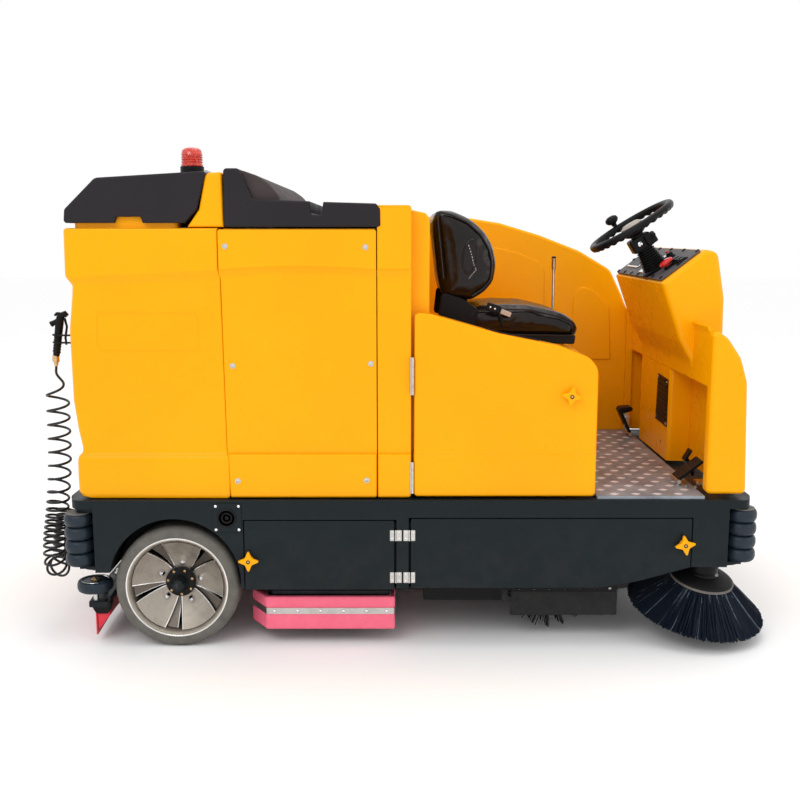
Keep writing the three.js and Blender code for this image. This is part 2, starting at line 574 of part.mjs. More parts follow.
for (const [side, sign] of SIDES) {
  const brush = groupAt([BRUSH_AT[0], sign * BRUSH_AT[1], BRUSH_AT[2]],
    [-sign * BRUSH_OUTWARD, BRUSH_FORWARD, 0]);
  place(`side_brush_${side}`, BRISTLE, turnedZ([[0, 92], [50, 92], [108, 96], [BRUSH_RADIUS, 0],
    [BRUSH_RADIUS, 12], [122, 122], [60, BRUSH_TOP], [0, BRUSH_TOP]], [0, 0, 0], 24), brush);
  const motor = join(turnedZ(rod(54, 46), [0, 0, BRUSH_TOP + GAP], 20),
    box(-150, 10, -22, 22, BRUSH_TOP + 22, BRUSH_TOP + 46));
  place(`side_brush_arm_${side}`, BLACK, motor, brush);
}

// ---------------------------------------------------------------- spray hose
// The wash gun hangs in a holder on the tail, and its coiled hose hangs below it, is pushed
// outward by the bumper, turns at its lowest point and comes back up to the tail fitting.
const GUN_Y = -430;
const GUN_FOOT = [-1243, GUN_Y, 962];
const GUN_HEAD = [-1219, GUN_Y, 1146];
place('gun_holder', BLACK, join(box(-1240, -1107, GUN_Y - 38, GUN_Y - 20, 1040, 1076),
  box(-1119, -1107, GUN_Y - 46, GUN_Y + 30, 1022, 1092)));
place('spray_gun', BLACK, join(bar(GUN_FOOT, GUN_HEAD, 16),
  bar([-1222, GUN_Y, 1122], [-1254, GUN_Y, 1108], 12)));
const HOSE_ROUTE = [
  [-1244, GUN_Y, 958.5], [-1245, GUN_Y, 800], [-1249, GUN_Y, 620], [-1266, GUN_Y, 450],
  [-1284, GUN_Y, 320], [-1290, -414, 238], [-1292, -372, 204], [-1290, -330, 232],
  [-1284, -316, 310], [-1270, -312, 410],
].map((point) => new THREE.Vector3(...point));
const HOSE_COIL_RADIUS = 45;
const HOSE_STEPS = 28;
const coilSection = new THREE.Shape().absarc(0, 0, HOSE_COIL_RADIUS, 0, 2 * Math.PI);
place('spray_hose', RUBBER, solid(new THREE.ExtrudeGeometry(coilSection, {
  extrudePath: new THREE.CatmullRomCurve3(HOSE_ROUTE), steps: HOSE_STEPS, curveSegments: 5,
  bevelEnabled: false,
})));

export default machine;
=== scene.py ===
# Ride-on scrubber: the fine visual model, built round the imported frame.
# Lengths in the tables and helpers are millimetres, +X is forward, +Y is left; meshes are in metres.
import math
import random

import bmesh
import bpy
from mathutils import Matrix, Vector


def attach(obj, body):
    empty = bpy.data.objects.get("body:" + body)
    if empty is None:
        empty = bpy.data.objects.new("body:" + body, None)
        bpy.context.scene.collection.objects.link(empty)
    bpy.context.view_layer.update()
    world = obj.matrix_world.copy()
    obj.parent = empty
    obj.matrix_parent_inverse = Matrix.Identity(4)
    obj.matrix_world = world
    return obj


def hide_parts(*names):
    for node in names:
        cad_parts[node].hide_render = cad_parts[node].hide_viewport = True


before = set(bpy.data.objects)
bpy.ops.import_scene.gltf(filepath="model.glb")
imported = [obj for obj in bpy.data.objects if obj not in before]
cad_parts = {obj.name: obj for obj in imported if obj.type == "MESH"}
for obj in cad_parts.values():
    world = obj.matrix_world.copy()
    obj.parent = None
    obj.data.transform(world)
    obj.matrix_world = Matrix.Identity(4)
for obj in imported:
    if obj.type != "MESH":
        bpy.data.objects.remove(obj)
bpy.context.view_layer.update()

MM = 0.001
random.seed(7)

CHASSIS = "chassis"
SIDES = (("right", -1), ("left", 1))
BODY_HALF = 620
HALF_WIDTH = 640
DRIVER_Y = -150
WHEEL_X, WHEEL_Y, WHEEL_RADIUS = -802, 566, 215
STEER = Matrix.Translation((838, DRIVER_Y, 1431)) @ Matrix.Rotation(math.radians(-32), 4, "Y")
CONSOLE = Matrix.Translation((887, 0, 1249)) @ Matrix.Rotation(math.radians(-37.2), 4, "Y")


# ------------------------------------------------------------------ camera, light, floor
LENS_MM, SENSOR_MM = 45.72, 36
CAMERA_PLACE = (-0.0396, -3.983, 1.4144)       # metres
CAMERA_DOWN, CAMERA_TURN = 9.224, -0.1         # degrees below level, and about the vertical


def make_camera():
    data = bpy.data.cameras.new("camera")
    data.sensor_width = SENSOR_MM
    data.lens = LENS_MM
    data.clip_end = 100
    camera = bpy.data.objects.new("camera", data)
    camera.location = CAMERA_PLACE
    camera.rotation_euler = (math.radians(90 - CAMERA_DOWN), 0, math.radians(CAMERA_TURN))
    bpy.context.scene.collection.objects.link(camera)
    bpy.context.scene.camera = camera


def make_area_light(name, place, target, size, power):
    data = bpy.data.lights.new(name, "AREA")
    data.shape = "RECTANGLE"
    data.size, data.size_y = size
    data.energy = power
    light = bpy.data.objects.new(name, data)
    light.location = place
    light.rotation_euler = (Vector(target) - Vector(place)).to_track_quat("-Z", "Y").to_euler()
    bpy.context.scene.collection.objects.link(light)


def make_studio():
    world = bpy.data.worlds.new("studio")
    world.use_nodes = True
    background = world.node_tree.nodes["Background"]
    background.inputs["Color"].default_value = (1.0, 1.0, 1.0, 1)
    background.inputs["Strength"].default_value = 1.0
    bpy.context.scene.world = world
    make_area_light("key", (-2.2, -4.2, 4.4), (0, 0, 0.7), (3.2, 2.2), 70)
    make_area_light("top", (0.3, 0.2, 5.2), (0, 0, 0.5), (4.5, 3.0), 60)
    make_area_light("fill", (4.2, -2.6, 2.0), (0.4, 0, 0.8), (2.2, 2.2), 16)
    scene = bpy.context.scene
    scene.view_settings.view_transform = "Standard"
    floor_mesh = bpy.data.meshes.new("floor")
    reach = 30
    floor_mesh.from_pydata([(-reach, -reach, 0), (reach, -reach, 0), (reach, reach, 0), (-reach, reach, 0)],
                           [], [(0, 1, 2, 3)])
    floor = bpy.data.objects.new("floor", floor_mesh)
    floor.location.z = -0.0005
    scene.collection.objects.link(floor)
    material = bpy.data.materials.new("floor")
    material.use_nodes = True
    shader = material.node_tree.nodes["Principled BSDF"]
    shader.inputs["Base Color"].default_value = (0.985, 0.985, 0.985, 1)
    shader.inputs["Roughness"].default_value = 0.75
    floor_mesh.materials.append(material)


# ------------------------------------------------------------------ materials
class Nodes:
    """A material's node tree with short calls for the nodes used here."""

    def __init__(self, name):
        self.material = bpy.data.materials.new(name)
        self.material.use_nodes = True
        self.tree = self.material.node_tree
        self.shader = self.tree.nodes["Principled BSDF"]
        self.coords = self.tree.nodes.new("ShaderNodeTexCoord").outputs["Object"]

    def link(self, source, target):
        self.tree.links.new(source, target)

    def noise(self, scale, detail=3.0, rough=0.55, stretch=None, distortion=0.0):
        node = self.tree.nodes.new("ShaderNodeTexNoise")
        node.inputs["Scale"].default_value = scale
        node.inputs["Detail"].default_value = detail
        node.inputs["Roughness"].default_value = rough
        node.inputs["Distortion"].default_value = distortion
        self.link(self.place(stretch), node.inputs["Vector"])
        return node.outputs["Fac"]

    def place(self, stretch=None):
        if stretch is None:
            return self.coords
        node = self.tree.nodes.new("ShaderNodeMapping")
        node.inputs["Scale"].default_value = stretch
        self.link(self.coords, node.inputs["Vector"])
        return node.outputs["Vector"]

    def voronoi(self, scale, feature="F1", output="Distance"):
        node = self.tree.nodes.new("ShaderNodeTexVoronoi")
        node.feature = feature
        node.inputs["Scale"].default_value = scale
        self.link(self.coords, node.inputs["Vector"])
        return node.outputs[output]

    def remap(self, value, low, high, to_low=0.0, to_high=1.0):
        node = self.tree.nodes.new("ShaderNodeMapRange")
        limits = (("From Min", low), ("From Max", high), ("To Min", to_low), ("To Max", to_high))
        for socket, number in limits:
            node.inputs[socket].default_value = number
        self.link(value, node.inputs["Value"])
        return node.outputs["Result"]

    def math(self, operation, a, b):
        node = self.tree.nodes.new("ShaderNodeMath")
        node.operation = operation
        for socket, value in zip(node.inputs, (a, b)):
            if isinstance(value, (int, float)):
                socket.default_value = value
            else:
                self.link(value, socket)
        return node.outputs[0]

    def mix(self, factor, a, b):
        node = self.tree.nodes.new("ShaderNodeMix")
        node.data_type = "RGBA"
        for socket, value in ((node.inputs["Factor"], factor), (node.inputs[6], a), (node.inputs[7], b)):
            if isinstance(value, tuple):
                socket.default_value = (*value[:3], 1)
            elif isinstance(value, (int, float)):
                socket.default_value = value
            else:
                self.link(value, socket)
        return node.outputs[2]

    def height(self):
        node = self.tree.nodes.new("ShaderNodeSeparateXYZ")
        self.link(self.coords, node.inputs[0])
        return node.outputs["Z"]

    def edges(self, low=0.52, high=0.6):
        geometry = self.tree.nodes.new("ShaderNodeNewGeometry")
        return self.remap(geometry.outputs["Pointiness"], low, high)

    def bump(self, height, strength, distance=0.001):
        node = self.tree.nodes.new("ShaderNodeBump")
        node.inputs["Strength"].default_value = strength
        node.inputs["Distance"].default_value = distance
        if self.shader.inputs["Normal"].is_linked:
            self.link(self.shader.inputs["Normal"].links[0].from_socket, node.inputs["Normal"])
        self.link(height, node.inputs["Height"])
        self.link(node.outputs["Normal"], self.shader.inputs["Normal"])

    def set(self, **values):
        for key, value in values.items():
            socket = self.shader.inputs[key.replace("_", " ")]
            if isinstance(value, tuple):
                socket.default_value = (*value[:3], 1)
            elif isinstance(value, (int, float)):
                socket.default_value = value
            else:
                self.link(value, socket)


def moulded(name, colour, rough, grain=0.0, grain_scale=900, coat=0.0, shade=0.06, dust=0.0):
    """Moulded plastic or paint: slow colour drift, uneven gloss, fine grain, dust near the floor."""
    n = Nodes(name)
    drift = n.noise(2.6, 4)
    darker = tuple(c * (1 - shade) for c in colour)
    lighter = tuple(min(1, c * (1 + shade)) for c in colour)
    tone = n.mix(n.remap(drift, 0.3, 0.7), darker, lighter)
    speck = n.remap(n.noise(240, 2), 0.42, 0.62, 0, 0.12)
    tone = n.mix(speck, tone, tuple(c * 0.8 for c in colour))
    if dust:
        low = n.remap(n.height(), 0.62, 0.05, 0, 1)
        patchy = n.remap(n.noise(14, 6, 0.7), 0.38, 0.72)
        tone = n.mix(n.math("MULTIPLY", n.math("MULTIPLY", low, patchy), dust), tone, (0.32, 0.29, 0.25))
    n.set(Base_Color=tone)
    n.set(Roughness=n.remap(n.noise(9, 5), 0.3, 0.7, max(0.05, rough - 0.06), rough + 0.08))
    n.set(Coat_Weight=coat, Coat_Roughness=0.12, Specular_IOR_Level=0.13)
    if grain:
        n.bump(n.noise(grain_scale, 3, 0.6), grain, 0.0006)
    return n.material


def worn_paint(name, colour, rough=0.42):
    """Satin paint on steel: orange peel, faint scratches, lighter worn edges, road dust low down."""
    n = Nodes(name)
    tone = n.mix(n.remap(n.noise(3.1, 5), 0.3, 0.7), tuple(c * 0.9 for c in colour),
                 tuple(c * 1.1 for c in colour))
    scratch = n.remap(n.noise(26, 8, 0.75, (0.35, 1, 4.5), 0.4), 0.66, 0.76, 0, 0.3)
    tone = n.mix(scratch, tone, tuple(c * 2 + 0.006 for c in colour))
    wear = n.math("MULTIPLY", n.edges(0.58, 0.7), n.remap(n.noise(60, 5), 0.5, 0.75))
    tone = n.mix(wear, tone, (0.2, 0.2, 0.19))
    low = n.remap(n.height(), 0.5, 0.12)
    dusty = n.math("MULTIPLY", low, n.remap(n.noise(11, 6, 0.7), 0.42, 0.8, 0, 0.08))
    n.set(Base_Color=n.mix(dusty, tone, (0.2, 0.18, 0.15)))
    n.set(Roughness=n.remap(n.noise(20, 4), 0.3, 0.7, rough - 0.07, rough + 0.12), Metallic=0.0)
    n.set(Coat_Weight=0.03, Coat_Roughness=0.25, Specular_IOR_Level=0.16)
    n.bump(n.noise(380, 2), 0.1, 0.0006)
    return n.material


def bare_metal(name, colour, rough, brushed=(1, 1, 1), scale=160, grime=0.25):
    """Bare metal: brushed streaks, uneven gloss, grime in patches."""
    n = Nodes(name)
    streak = n.noise(scale, 6, 0.7, brushed)
    tone = n.mix(n.remap(streak, 0.3, 0.7), tuple(c * 0.82 for c in colour), colour)
    patch = n.remap(n.noise(22, 6, 0.7), 0.5, 0.75, 0, grime)
    n.set(Base_Color=n.mix(patch, tone, (0.12, 0.1, 0.085)), Metallic=1.0)
    n.set(Roughness=n.remap(streak, 0.25, 0.75, max(0.03, rough - 0.08), rough + 0.12))
    n.bump(streak, 0.06, 0.0004)
    return n.material


def rubber(name, colour, rough=0.62, grey=0.25, grain=0.25):
    """Rubber or polyurethane: chalky bloom, scuffs, and a fine matt grain."""
    n = Nodes(name)
    bloom = n.remap(n.noise(18, 7, 0.7), 0.4, 0.75, 0, grey)
    pale = tuple(min(1, c * 1.5 + 0.07) for c in colour)
    tone = n.mix(bloom, colour, pale)
    scuff = n.remap(n.noise(90, 5, 0.7, (0.4, 1, 1.6)), 0.6, 0.72, 0, 0.35)
    n.set(Base_Color=n.mix(scuff, tone, tuple(c * 0.6 for c in colour)))
    n.set(Roughness=n.remap(n.noise(40, 5), 0.3, 0.7, rough - 0.1, rough + 0.1))
    n.set(Specular_IOR_Level=0.3)
    n.bump(n.noise(700, 3), grain, 0.0005)
    return n.material


def tyre_material():
    n = Nodes("tyre_rubber")
    dust = n.remap(n.noise(16, 7, 0.7), 0.3, 0.7)
    tone = n.mix(dust, (0.085, 0.08, 0.07), (0.15, 0.142, 0.126))
    chalk = n.remap(n.noise(70, 6, 0.75), 0.55, 0.75, 0, 0.5)
    n.set(Base_Color=n.mix(chalk, tone, (0.17, 0.155, 0.13)), Roughness=n.remap(dust, 0, 1, 0.55, 0.8))
    n.set(Specular_IOR_Level=0.3)
    n.bump(n.noise(420, 4), 0.35, 0.0008)
    return n.material


def vinyl_material():
    """Glossy black vinyl with leather grain and soft wrinkles."""
    n = Nodes("seat_vinyl")
    n.set(Base_Color=n.mix(n.remap(n.noise(7, 5), 0.3, 0.7), (0.004, 0.0022, 0.002), (0.012, 0.0065, 0.005)))
    n.set(Roughness=n.remap(n.noise(30, 5), 0.3, 0.7, 0.17, 0.3), Specular_IOR_Level=0.3)
    n.bump(n.voronoi(420, "DISTANCE_TO_EDGE"), 0.05, 0.0004)
    n.bump(n.noise(9, 3, 0.5, None, 0.6), 0.2, 0.004)
    return n.material


def lens_material():
    """Red beacon lens: clear tinted plastic over fine vertical ribs."""
    n = Nodes("beacon_lens")
    n.set(Base_Color=n.mix(n.remap(n.noise(60, 3), 0.35, 0.65), (0.72, 0.02, 0.01), (0.9, 0.08, 0.04)))
    n.set(Roughness=n.remap(n.noise(30, 4), 0.3, 0.7, 0.08, 0.2), Transmission_Weight=0.35, Coat_Weight=0.6)
    n.set(Subsurface_Weight=0.2)
    return n.material


def tread_material():
    """Worn aluminium tread plate: dull brown-grey field and bright polished bars."""
    n = Nodes("tread_plate")
    grime = n.remap(n.noise(9, 7, 0.7), 0.35, 0.7)
    field = n.mix(grime, (0.34, 0.39, 0.44), (0.15, 0.165, 0.185))
    worn = n.remap(n.height(), 0.5384, 0.5402)
    n.set(Base_Color=n.mix(worn, field, (0.97, 0.97, 1.0)), Metallic=n.remap(worn, 0, 1, 0.3, 0.5))
    n.set(Roughness=n.remap(n.noise(55, 5), 0.3, 0.7, 0.28, 0.5))
    n.bump(n.noise(300, 4), 0.15, 0.0005)
    return n.material


def bristle_material(name, dark, light):
    """Nylon bristles: each strand its own shade, with a soft shine."""
    n = Nodes(name)
    strand = n.voronoi(330, "F1", "Color")
    n.set(Base_Color=n.mix(strand, dark, light), Roughness=n.remap(n.noise(200, 2), 0.3, 0.7, 0.32, 0.55))
    n.set(Specular_IOR_Level=0.1)
    return n.material


YELLOW = moulded("yellow_plastic", (0.93, 0.385, 0.0), 0.28, 0.06, 620, 0.05, 0.04, 0.04)
LID = moulded("lid_plastic", (0.02, 0.0175, 0.02), 0.5, 0.5, 760, 0, 0.12)
DOME = moulded("dome_plastic", (0.06, 0.046, 0.045), 0.62, 0.8, 420, 0, 0.18)
BLACK = moulded("black_plastic", (0.007, 0.007, 0.008), 0.36, 0.25, 800, 0, 0.2)
CONSOLE_GREY = moulded("console_grey", (0.095, 0.085, 0.09), 0.5, 0.4, 700, 0, 0.12)
HUB_PAD = moulded("hub_pad", (0.36, 0.31, 0.26), 0.3, 0.1, 500, 0.2, 0.12)
SLATE = worn_paint("chassis_paint", (0.0055, 0.0105, 0.013))
ROLLER = rubber("roller_rubber", (0.008, 0.016, 0.026), 0.4, 0.1)
FLAP = rubber("flap_rubber", (0.006, 0.006, 0.006), 0.6, 0.1)
SKIRT = rubber("skirt_pink", (0.82, 0.13, 0.21), 0.5, 0.25, 0.2)
BLADE = rubber("squeegee_red", (0.62, 0.025, 0.045), 0.42, 0.12, 0.15)
TYRE = tyre_material()
ALLOY = bare_metal("rim_paint", (0.44, 0.395, 0.34), 0.5, (1, 1, 1), 50, 0.4)
# The rim's alloy at about half its brightness, for the web set back in the windows: painted shade.
SHADED_WEB = bare_metal("rim_web_shaded", (0.2, 0.175, 0.15), 0.5, (1, 1, 1), 60, 0.5)
BRIGHT = bare_metal("machined_edge", (0.88, 0.86, 0.83), 0.18, (1, 1, 1), 220, 0.08)
STEEL = bare_metal("zinc_steel", (0.62, 0.62, 0.6), 0.3, (1, 1, 5), 180, 0.3)
CHROME = bare_metal("chrome", (0.82, 0.82, 0.84), 0.08, (1, 1, 1), 60, 0.06)
BRASS = bare_metal("brass_bolt", (0.72, 0.5, 0.26), 0.28, (1, 1, 1), 200, 0.25)
VINYL = vinyl_material()
LENS = lens_material()
RED = moulded("signal_red", (0.62, 0.02, 0.015), 0.25, 0.05, 500, 0.4)
TREAD = tread_material()
BRISTLE = bristle_material("bristle_navy", (0.0006, 0.001, 0.003), (0.007, 0.014, 0.03))
BROOM = bristle_material("bristle_black", (0.006, 0.006, 0.008), (0.03, 0.03, 0.035))
DUSTY = rubber("dusty_rubber", (0.16, 0.145, 0.13), 0.75, 0.3)
# Near-black sheets set where there is only shade: painted shadow behind the wheel windows, in the arches and
# in the door gaps.
PAINTED_SHADOW = moulded("painted_shadow_black", (0.01, 0.009, 0.0085), 0.6, 0.3)
DISC = moulded("brush_disc", (0.012, 0.011, 0.012), 0.55, 0.5)
# Pale strands that stand in for light catching the bristles: painted highlight.
PAINTED_GLINT = bristle_material("bristle_painted_glint", (0.02, 0.03, 0.045), (0.16, 0.19, 0.23))
THREAD = moulded("white_thread", (0.75, 0.74, 0.72), 0.7, 0.6)
BELT = moulded("beige_latch", (0.5, 0.38, 0.3), 0.5, 0.3)


# ------------------------------------------------------------------ mesh building
def fillet(corners, step=15):
    """A closed outline through (a, b, radius) corners, its rounded corners as arcs."""
    out = []
    count = len(corners)
    for i, corner in enumerate(corners):
        here = Vector(corner[:2])
        radius = corner[2] if len(corner) > 2 else 0
        before = Vector(corners[i - 1][:2]) - here
        after = Vector(corners[(i + 1) % count][:2]) - here
        half = before.angle(after) / 2 if radius else 0
        if radius <= 0 or half > math.pi / 2 - 0.02:
            out.append(here)
            continue
        reach = min(radius / math.tan(half), before.length * 0.48, after.length * 0.48)
        radius = reach * math.tan(half)
        centre = here + (before.normalized() + after.normalized()).normalized() * radius / math.sin(half)
        first = here + before.normalized() * reach - centre
        turn = math.pi - 2 * half
        sign = 1 if first.x * (-before.y) - first.y * (-before.x) > 0 else -1
        parts = max(2, round(math.degrees(turn) / step))
        for k in range(parts + 1):
            angle = sign * turn * k / parts
            c, s = math.cos(angle), math.sin(angle)
            out.append(centre + Vector((first.x * c - first.y * s, first.x * s + first.y * c)))
    return out


def arc(cx, cz, radius, start, end, parts):
    """Points on a circle from start to end, in degrees."""
    return [(cx + radius * math.cos(math.radians(start + (end - start) * i / parts)),
             cz + radius * math.sin(math.radians(start + (end - start) * i / parts)))
            for i in range(parts + 1)]


def in_side_view(a, b, depth):
    return (a, depth, b)


def in_plan(a, b, depth):
    return (a, b, depth)


def in_end_view(a, b, depth):
    return (depth, a, b)


class Shape:
    """Closed shells gathered into one mesh, each face with its material."""

    def __init__(self, material):
        self.points = []
        self.faces = []
        self.face_slots = []
        self.materials = [material]
        self.current = 0
        self.frame = Matrix.Identity(4)

    def use(self, material):
        if material not in self.materials:
            self.materials.append(material)
        self.current = self.materials.index(material)
        return self

    def at(self, matrix):
        self.frame = matrix
        return self

    def add(self, points, faces):
        base = len(self.points)
        self.points += [self.frame @ Vector(p) for p in points]
        self.faces += [[base + i for i in face] for face in faces]
        self.face_slots += [self.current] * len(faces)
        return self

    def loft(self, rings, closed=False):
        """Joins rings of equally many points by quads, with flat ends."""
        count = len(rings[0])
        points = [p for ring in rings for p in ring]
        faces = []
        last = len(rings) if closed else len(rings) - 1
        for r in range(last):
            for i in range(count):
                j = (i + 1) % count
                a, b = r * count, (r + 1) % len(rings) * count
                faces.append((a + i, a + j, b + j, b + i))
        if not closed:
            faces.append(tuple(reversed(range(count))))
            faces.append(tuple((len(rings) - 1) * count + i for i in range(count)))
        return self.add(points, faces)

    def prism(self, outline, lo, hi, view=in_side_view):
        return self.loft([[view(p[0], p[1], d) for p in outline] for d in (lo, hi)])

    def box(self, x0, x1, y0, y1, z0, z1):
        return self.prism([(x0, y0), (x1, y0), (x1, y1), (x0, y1)], z0, z1, in_plan)

    def lathe(self, profile, matrix=Matrix.Identity(4), sides=32):
        """Turns (radius, height) points about the matrix's Z axis. Points on the axis close it."""
        points, rows, faces = [], [], []
        for r, h in profile:
            if r < 1e-6:
                rows.append([len(points)])
                points.append(matrix @ Vector((0, 0, h)))
            else:
                rows.append([len(points) + i for i in range(sides)])
                for i in range(sides):
                    turn = 2 * math.pi * i / sides
                    points.append(matrix @ Vector((r * math.cos(turn), r * math.sin(turn), h)))
        loop = profile[0][0] > 1e-6
        pairs = list(zip(rows, rows[1:])) + ([(rows[-1], rows[0])] if loop else [])
        for low, high in pairs:
            for i in range(sides):
                j = (i + 1) % sides
                if len(low) == 1 and len(high) == 1:
                    continue
                if len(low) == 1:
                    faces.append((low[0], high[j], high[i]))
                elif len(high) == 1:
                    faces.append((low[i], low[j], high[0]))
                else:
                    faces.append((low[i], low[j], high[j], high[i]))
        return self.add(points, faces)

    def sweep(self, path, radius, sides=10, closed=False, flat=1.0):
        """A tube along a path; radius may be a number or one for each point."""
        path = [Vector(p) for p in path]
        count = len(path)
        rings = []
        side = None
        for i, p in enumerate(path):
            ahead = path[(i + 1) % count] if closed or i + 1 < count else p
            behind = path[i - 1] if closed or i else p
            way = (ahead - behind).normalized()
            if side is None:
                side = way.orthogonal().normalized()
            side = (side - way * side.dot(way)).normalized()
            up = way.cross(side)
            r = radius[i] if isinstance(radius, (list, tuple)) else radius
            rings.append([p + side * (r * math.cos(2 * math.pi * k / sides))
                          + up * (r * flat * math.sin(2 * math.pi * k / sides)) for k in range(sides)])
        return self.loft(rings, closed=closed)

    def ring(self, outer, inner, lo, hi, view=in_side_view):
        """A flat frame between two outlines of equally many points."""
        rings = [[view(p[0], p[1], d) for p in line] for line, d in
                 ((outer, lo), (outer, hi), (inner, hi), (inner, lo))]
        return self.loft(rings, closed=True)

    def bolt(self, place, axis, radius, depth, kind="dome"):
        """A bolt or screw head standing on a face."""
        turn = Vector((0, 0, 1)).rotation_difference(Vector(axis)).to_matrix().to_4x4()
        matrix = Matrix.Translation(place) @ turn
        if kind == "dome":
            profile = [(0, -1), (radius, -1), (radius, depth * 0.3), (radius * 0.75, depth * 0.8),
                       (radius * 0.36, depth), (radius * 0.3, depth * 0.5), (0, depth * 0.5)]
            return self.lathe(profile, matrix, 16)
        if kind == "hex":
            washer = [(0, -1), (radius * 1.5, -1), (radius * 1.5, depth * 0.25), (0, depth * 0.25)]
            self.lathe(washer, matrix, 20)
            return self.lathe([(0, 0), (radius, 0), (radius, depth * 0.9), (radius * 0.8, depth), (0, depth)],
                              matrix, 6)
        return self.lathe([(0, -1), (radius, -1), (radius, depth), (0, depth)], matrix, 16)


ALONG_Y = Matrix.Rotation(math.radians(-90), 4, "X")      # turned pieces about +Y
SHARP_ANGLE = 38               # degrees between faces that stay a hard edge
BEVEL_ANGLE = 30               # degrees between faces that get a bevel on a kept CAD node


def piece(name, shape, body, replaces=()):
    """Makes the mesh, shades its edges, and fixes it to its body."""
    mesh = bpy.data.meshes.new(name)
    mesh.from_pydata([p * MM for p in shape.points], [], shape.faces)
    for material in shape.materials:
        mesh.materials.append(material)
    mesh.polygons.foreach_set("material_index", shape.face_slots)
    mesh.update()
    fix_normals(mesh)
    for polygon in mesh.polygons:
        polygon.use_smooth = True
    obj = bpy.data.objects.new(name, mesh)
    bpy.context.scene.collection.objects.link(obj)
    mesh.set_sharp_from_angle(angle=math.radians(SHARP_ANGLE))
    obj.modifiers.new("shading", "WEIGHTED_NORMAL").keep_sharp = True
    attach(obj, body)
    if replaces:
        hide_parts(*replaces)
    return obj


def fix_normals(mesh):
    bm = bmesh.new()
    bm.from_mesh(mesh)
    bmesh.ops.recalc_face_normals(bm, faces=bm.faces)
    bm.to_mesh(mesh)
    bm.free()


def dress(node, material, bevel):
    """Keeps a CAD node's shape, with soft edges and its real material."""
    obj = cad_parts[node]
    obj.data.materials.clear()
    obj.data.materials.append(material)
    for polygon in obj.data.polygons:
        polygon.material_index = 0
    edge = obj.modifiers.new("edges", "BEVEL")
    edge.width = bevel * MM
    edge.segments = 2
    edge.limit_method = "ANGLE"
    edge.angle_limit = math.radians(BEVEL_ANGLE)
    edge.use_clamp_overlap = True
    obj.modifiers.new("shading", "WEIGHTED_NORMAL").keep_sharp = False
    return obj


# ------------------------------------------------------------------ rounded slabs
def inset(outline, amount):
    """The outline moved inward by an amount."""
    count = len(outline)
    area = sum(a.x * b.y - b.x * a.y for a, b in zip(outline, outline[1:] + outline[:1]))
    sign = 1 if area > 0 else -1
    out = []
    for i, p in enumerate(outline):
        before = (p - outline[i - 1]).normalized()
        after = (outline[(i + 1) % count] - p).normalized()
        normals = Vector((-before.y - after.y, before.x + after.x)) * sign
        out.append(p + normals * amount / max(0.5, 1 + before.dot(after)))
    return out


def shrink(corners, amount):
    """The (a, b, radius) corners of the outline that lies an amount further in."""
    points = [Vector(c[:2]) for c in corners]
    count = len(points)
    area = sum(a.x * b.y - b.x * a.y for a, b in zip(points, points[1:] + points[:1]))
    sign = 1 if area > 0 else -1
    out = []
    for i, p in enumerate(points):
        before = (p - points[i - 1]).normalized()
        after = (points[(i + 1) % count] - p).normalized()
        normals = Vector((-before.y - after.y, before.x + after.x)) * sign
        moved = p + normals * amount / max(0.3, 1 + before.dot(after))
        radius = corners[i][2] if len(corners[i]) > 2 else 0
        if radius:
            bulges = (before.x * after.y - before.y * after.x) * sign > 0
            radius = max(0.05, radius - amount) if bulges else radius + amount
        out.append((moved.x, moved.y, radius))
    return out


def moved_in(corners, amount, step):
    """The rounded outline moved inward, with as many points as it had."""
    line = fillet(corners, step)
    moved = fillet(shrink(corners, amount), step)
    return moved if len(moved) == len(line) else inset(line, amount)


def slab(shape, corners, lo, hi, view=in_side_view, edge=4, edge_hi=None, parts=3, step=12):
    """A plate whose outline runs through (a, b, radius) corners, with rounded rims at both faces."""
    rings = []
    for depth, turn, size in ((lo, 1, edge), (hi, -1, edge if edge_hi is None else edge_hi)):
        rim = []
        for k in range(parts + 1):
            angle = math.pi / 2 * k / parts
            line = moved_in(corners, size * (1 - math.sin(angle)), step) if size else fillet(corners, step)
            away = depth + turn * (size * (1 - math.cos(angle)) if size else 0)
            rim.append([view(p.x, p.y, away) for p in line])
            if not size:
                break
        rings += rim if turn > 0 else rim[::-1]
    return shape.loft(rings)


def side_rows(sign, half, inner):
    """The depths of a side's outer and inner face, in rising order."""
    return (-half, -inner) if sign < 0 else (inner, half)


def catmull(points, parts):
    """A smooth curve through points, with so many steps between each two."""
    points = [Vector(p) for p in points]
    ends = [points[0] * 2 - points[1], *points, points[-1] * 2 - points[-2]]
    out = []
    for i in range(1, len(ends) - 2):
        a, b, c, d = ends[i - 1:i + 3]
        for k in range(parts):
            t = k / parts
            out.append(0.5 * (2 * b + (c - a) * t + (2 * a - 5 * b + 4 * c - d) * t * t
                              + (3 * b - a - 3 * c + d) * t ** 3))
    out.append(points[-1])
    return out


# ------------------------------------------------------------------ wash gun and its coiled hose
GUN_Y = -430
HOSE_DIAMETER = 9
HELIX_RADIUS = 37
HOSE_TAP = (-1152, -300, 470)
HOSE_ROUTE = [
    (-1244, GUN_Y, 958.5), (-1245, GUN_Y, 800), (-1249, GUN_Y, 620), (-1266, GUN_Y, 450),
    (-1284, GUN_Y, 320), (-1290, -414, 238), (-1292, -372, 204), (-1290, -330, 232),
    (-1284, -316, 310), (-1270, -312, 410),
]
# The coil's pitch at distances along its route from the gun: drawn out high up, bunched low down.
PITCHES = [(0, 150), (60, 112), (110, 62), (160, 50), (430, 50), (500, 30), (560, 21), (640, 22),
           (700, 36), (800, 36), (840, 24), (990, 21)]


def pitch_at(distance):
    for (s0, p0), (s1, p1) in zip(PITCHES, PITCHES[1:]):
        if distance <= s1:
            return p0 + (p1 - p0) * (distance - s0) / (s1 - s0)
    return PITCHES[-1][1]


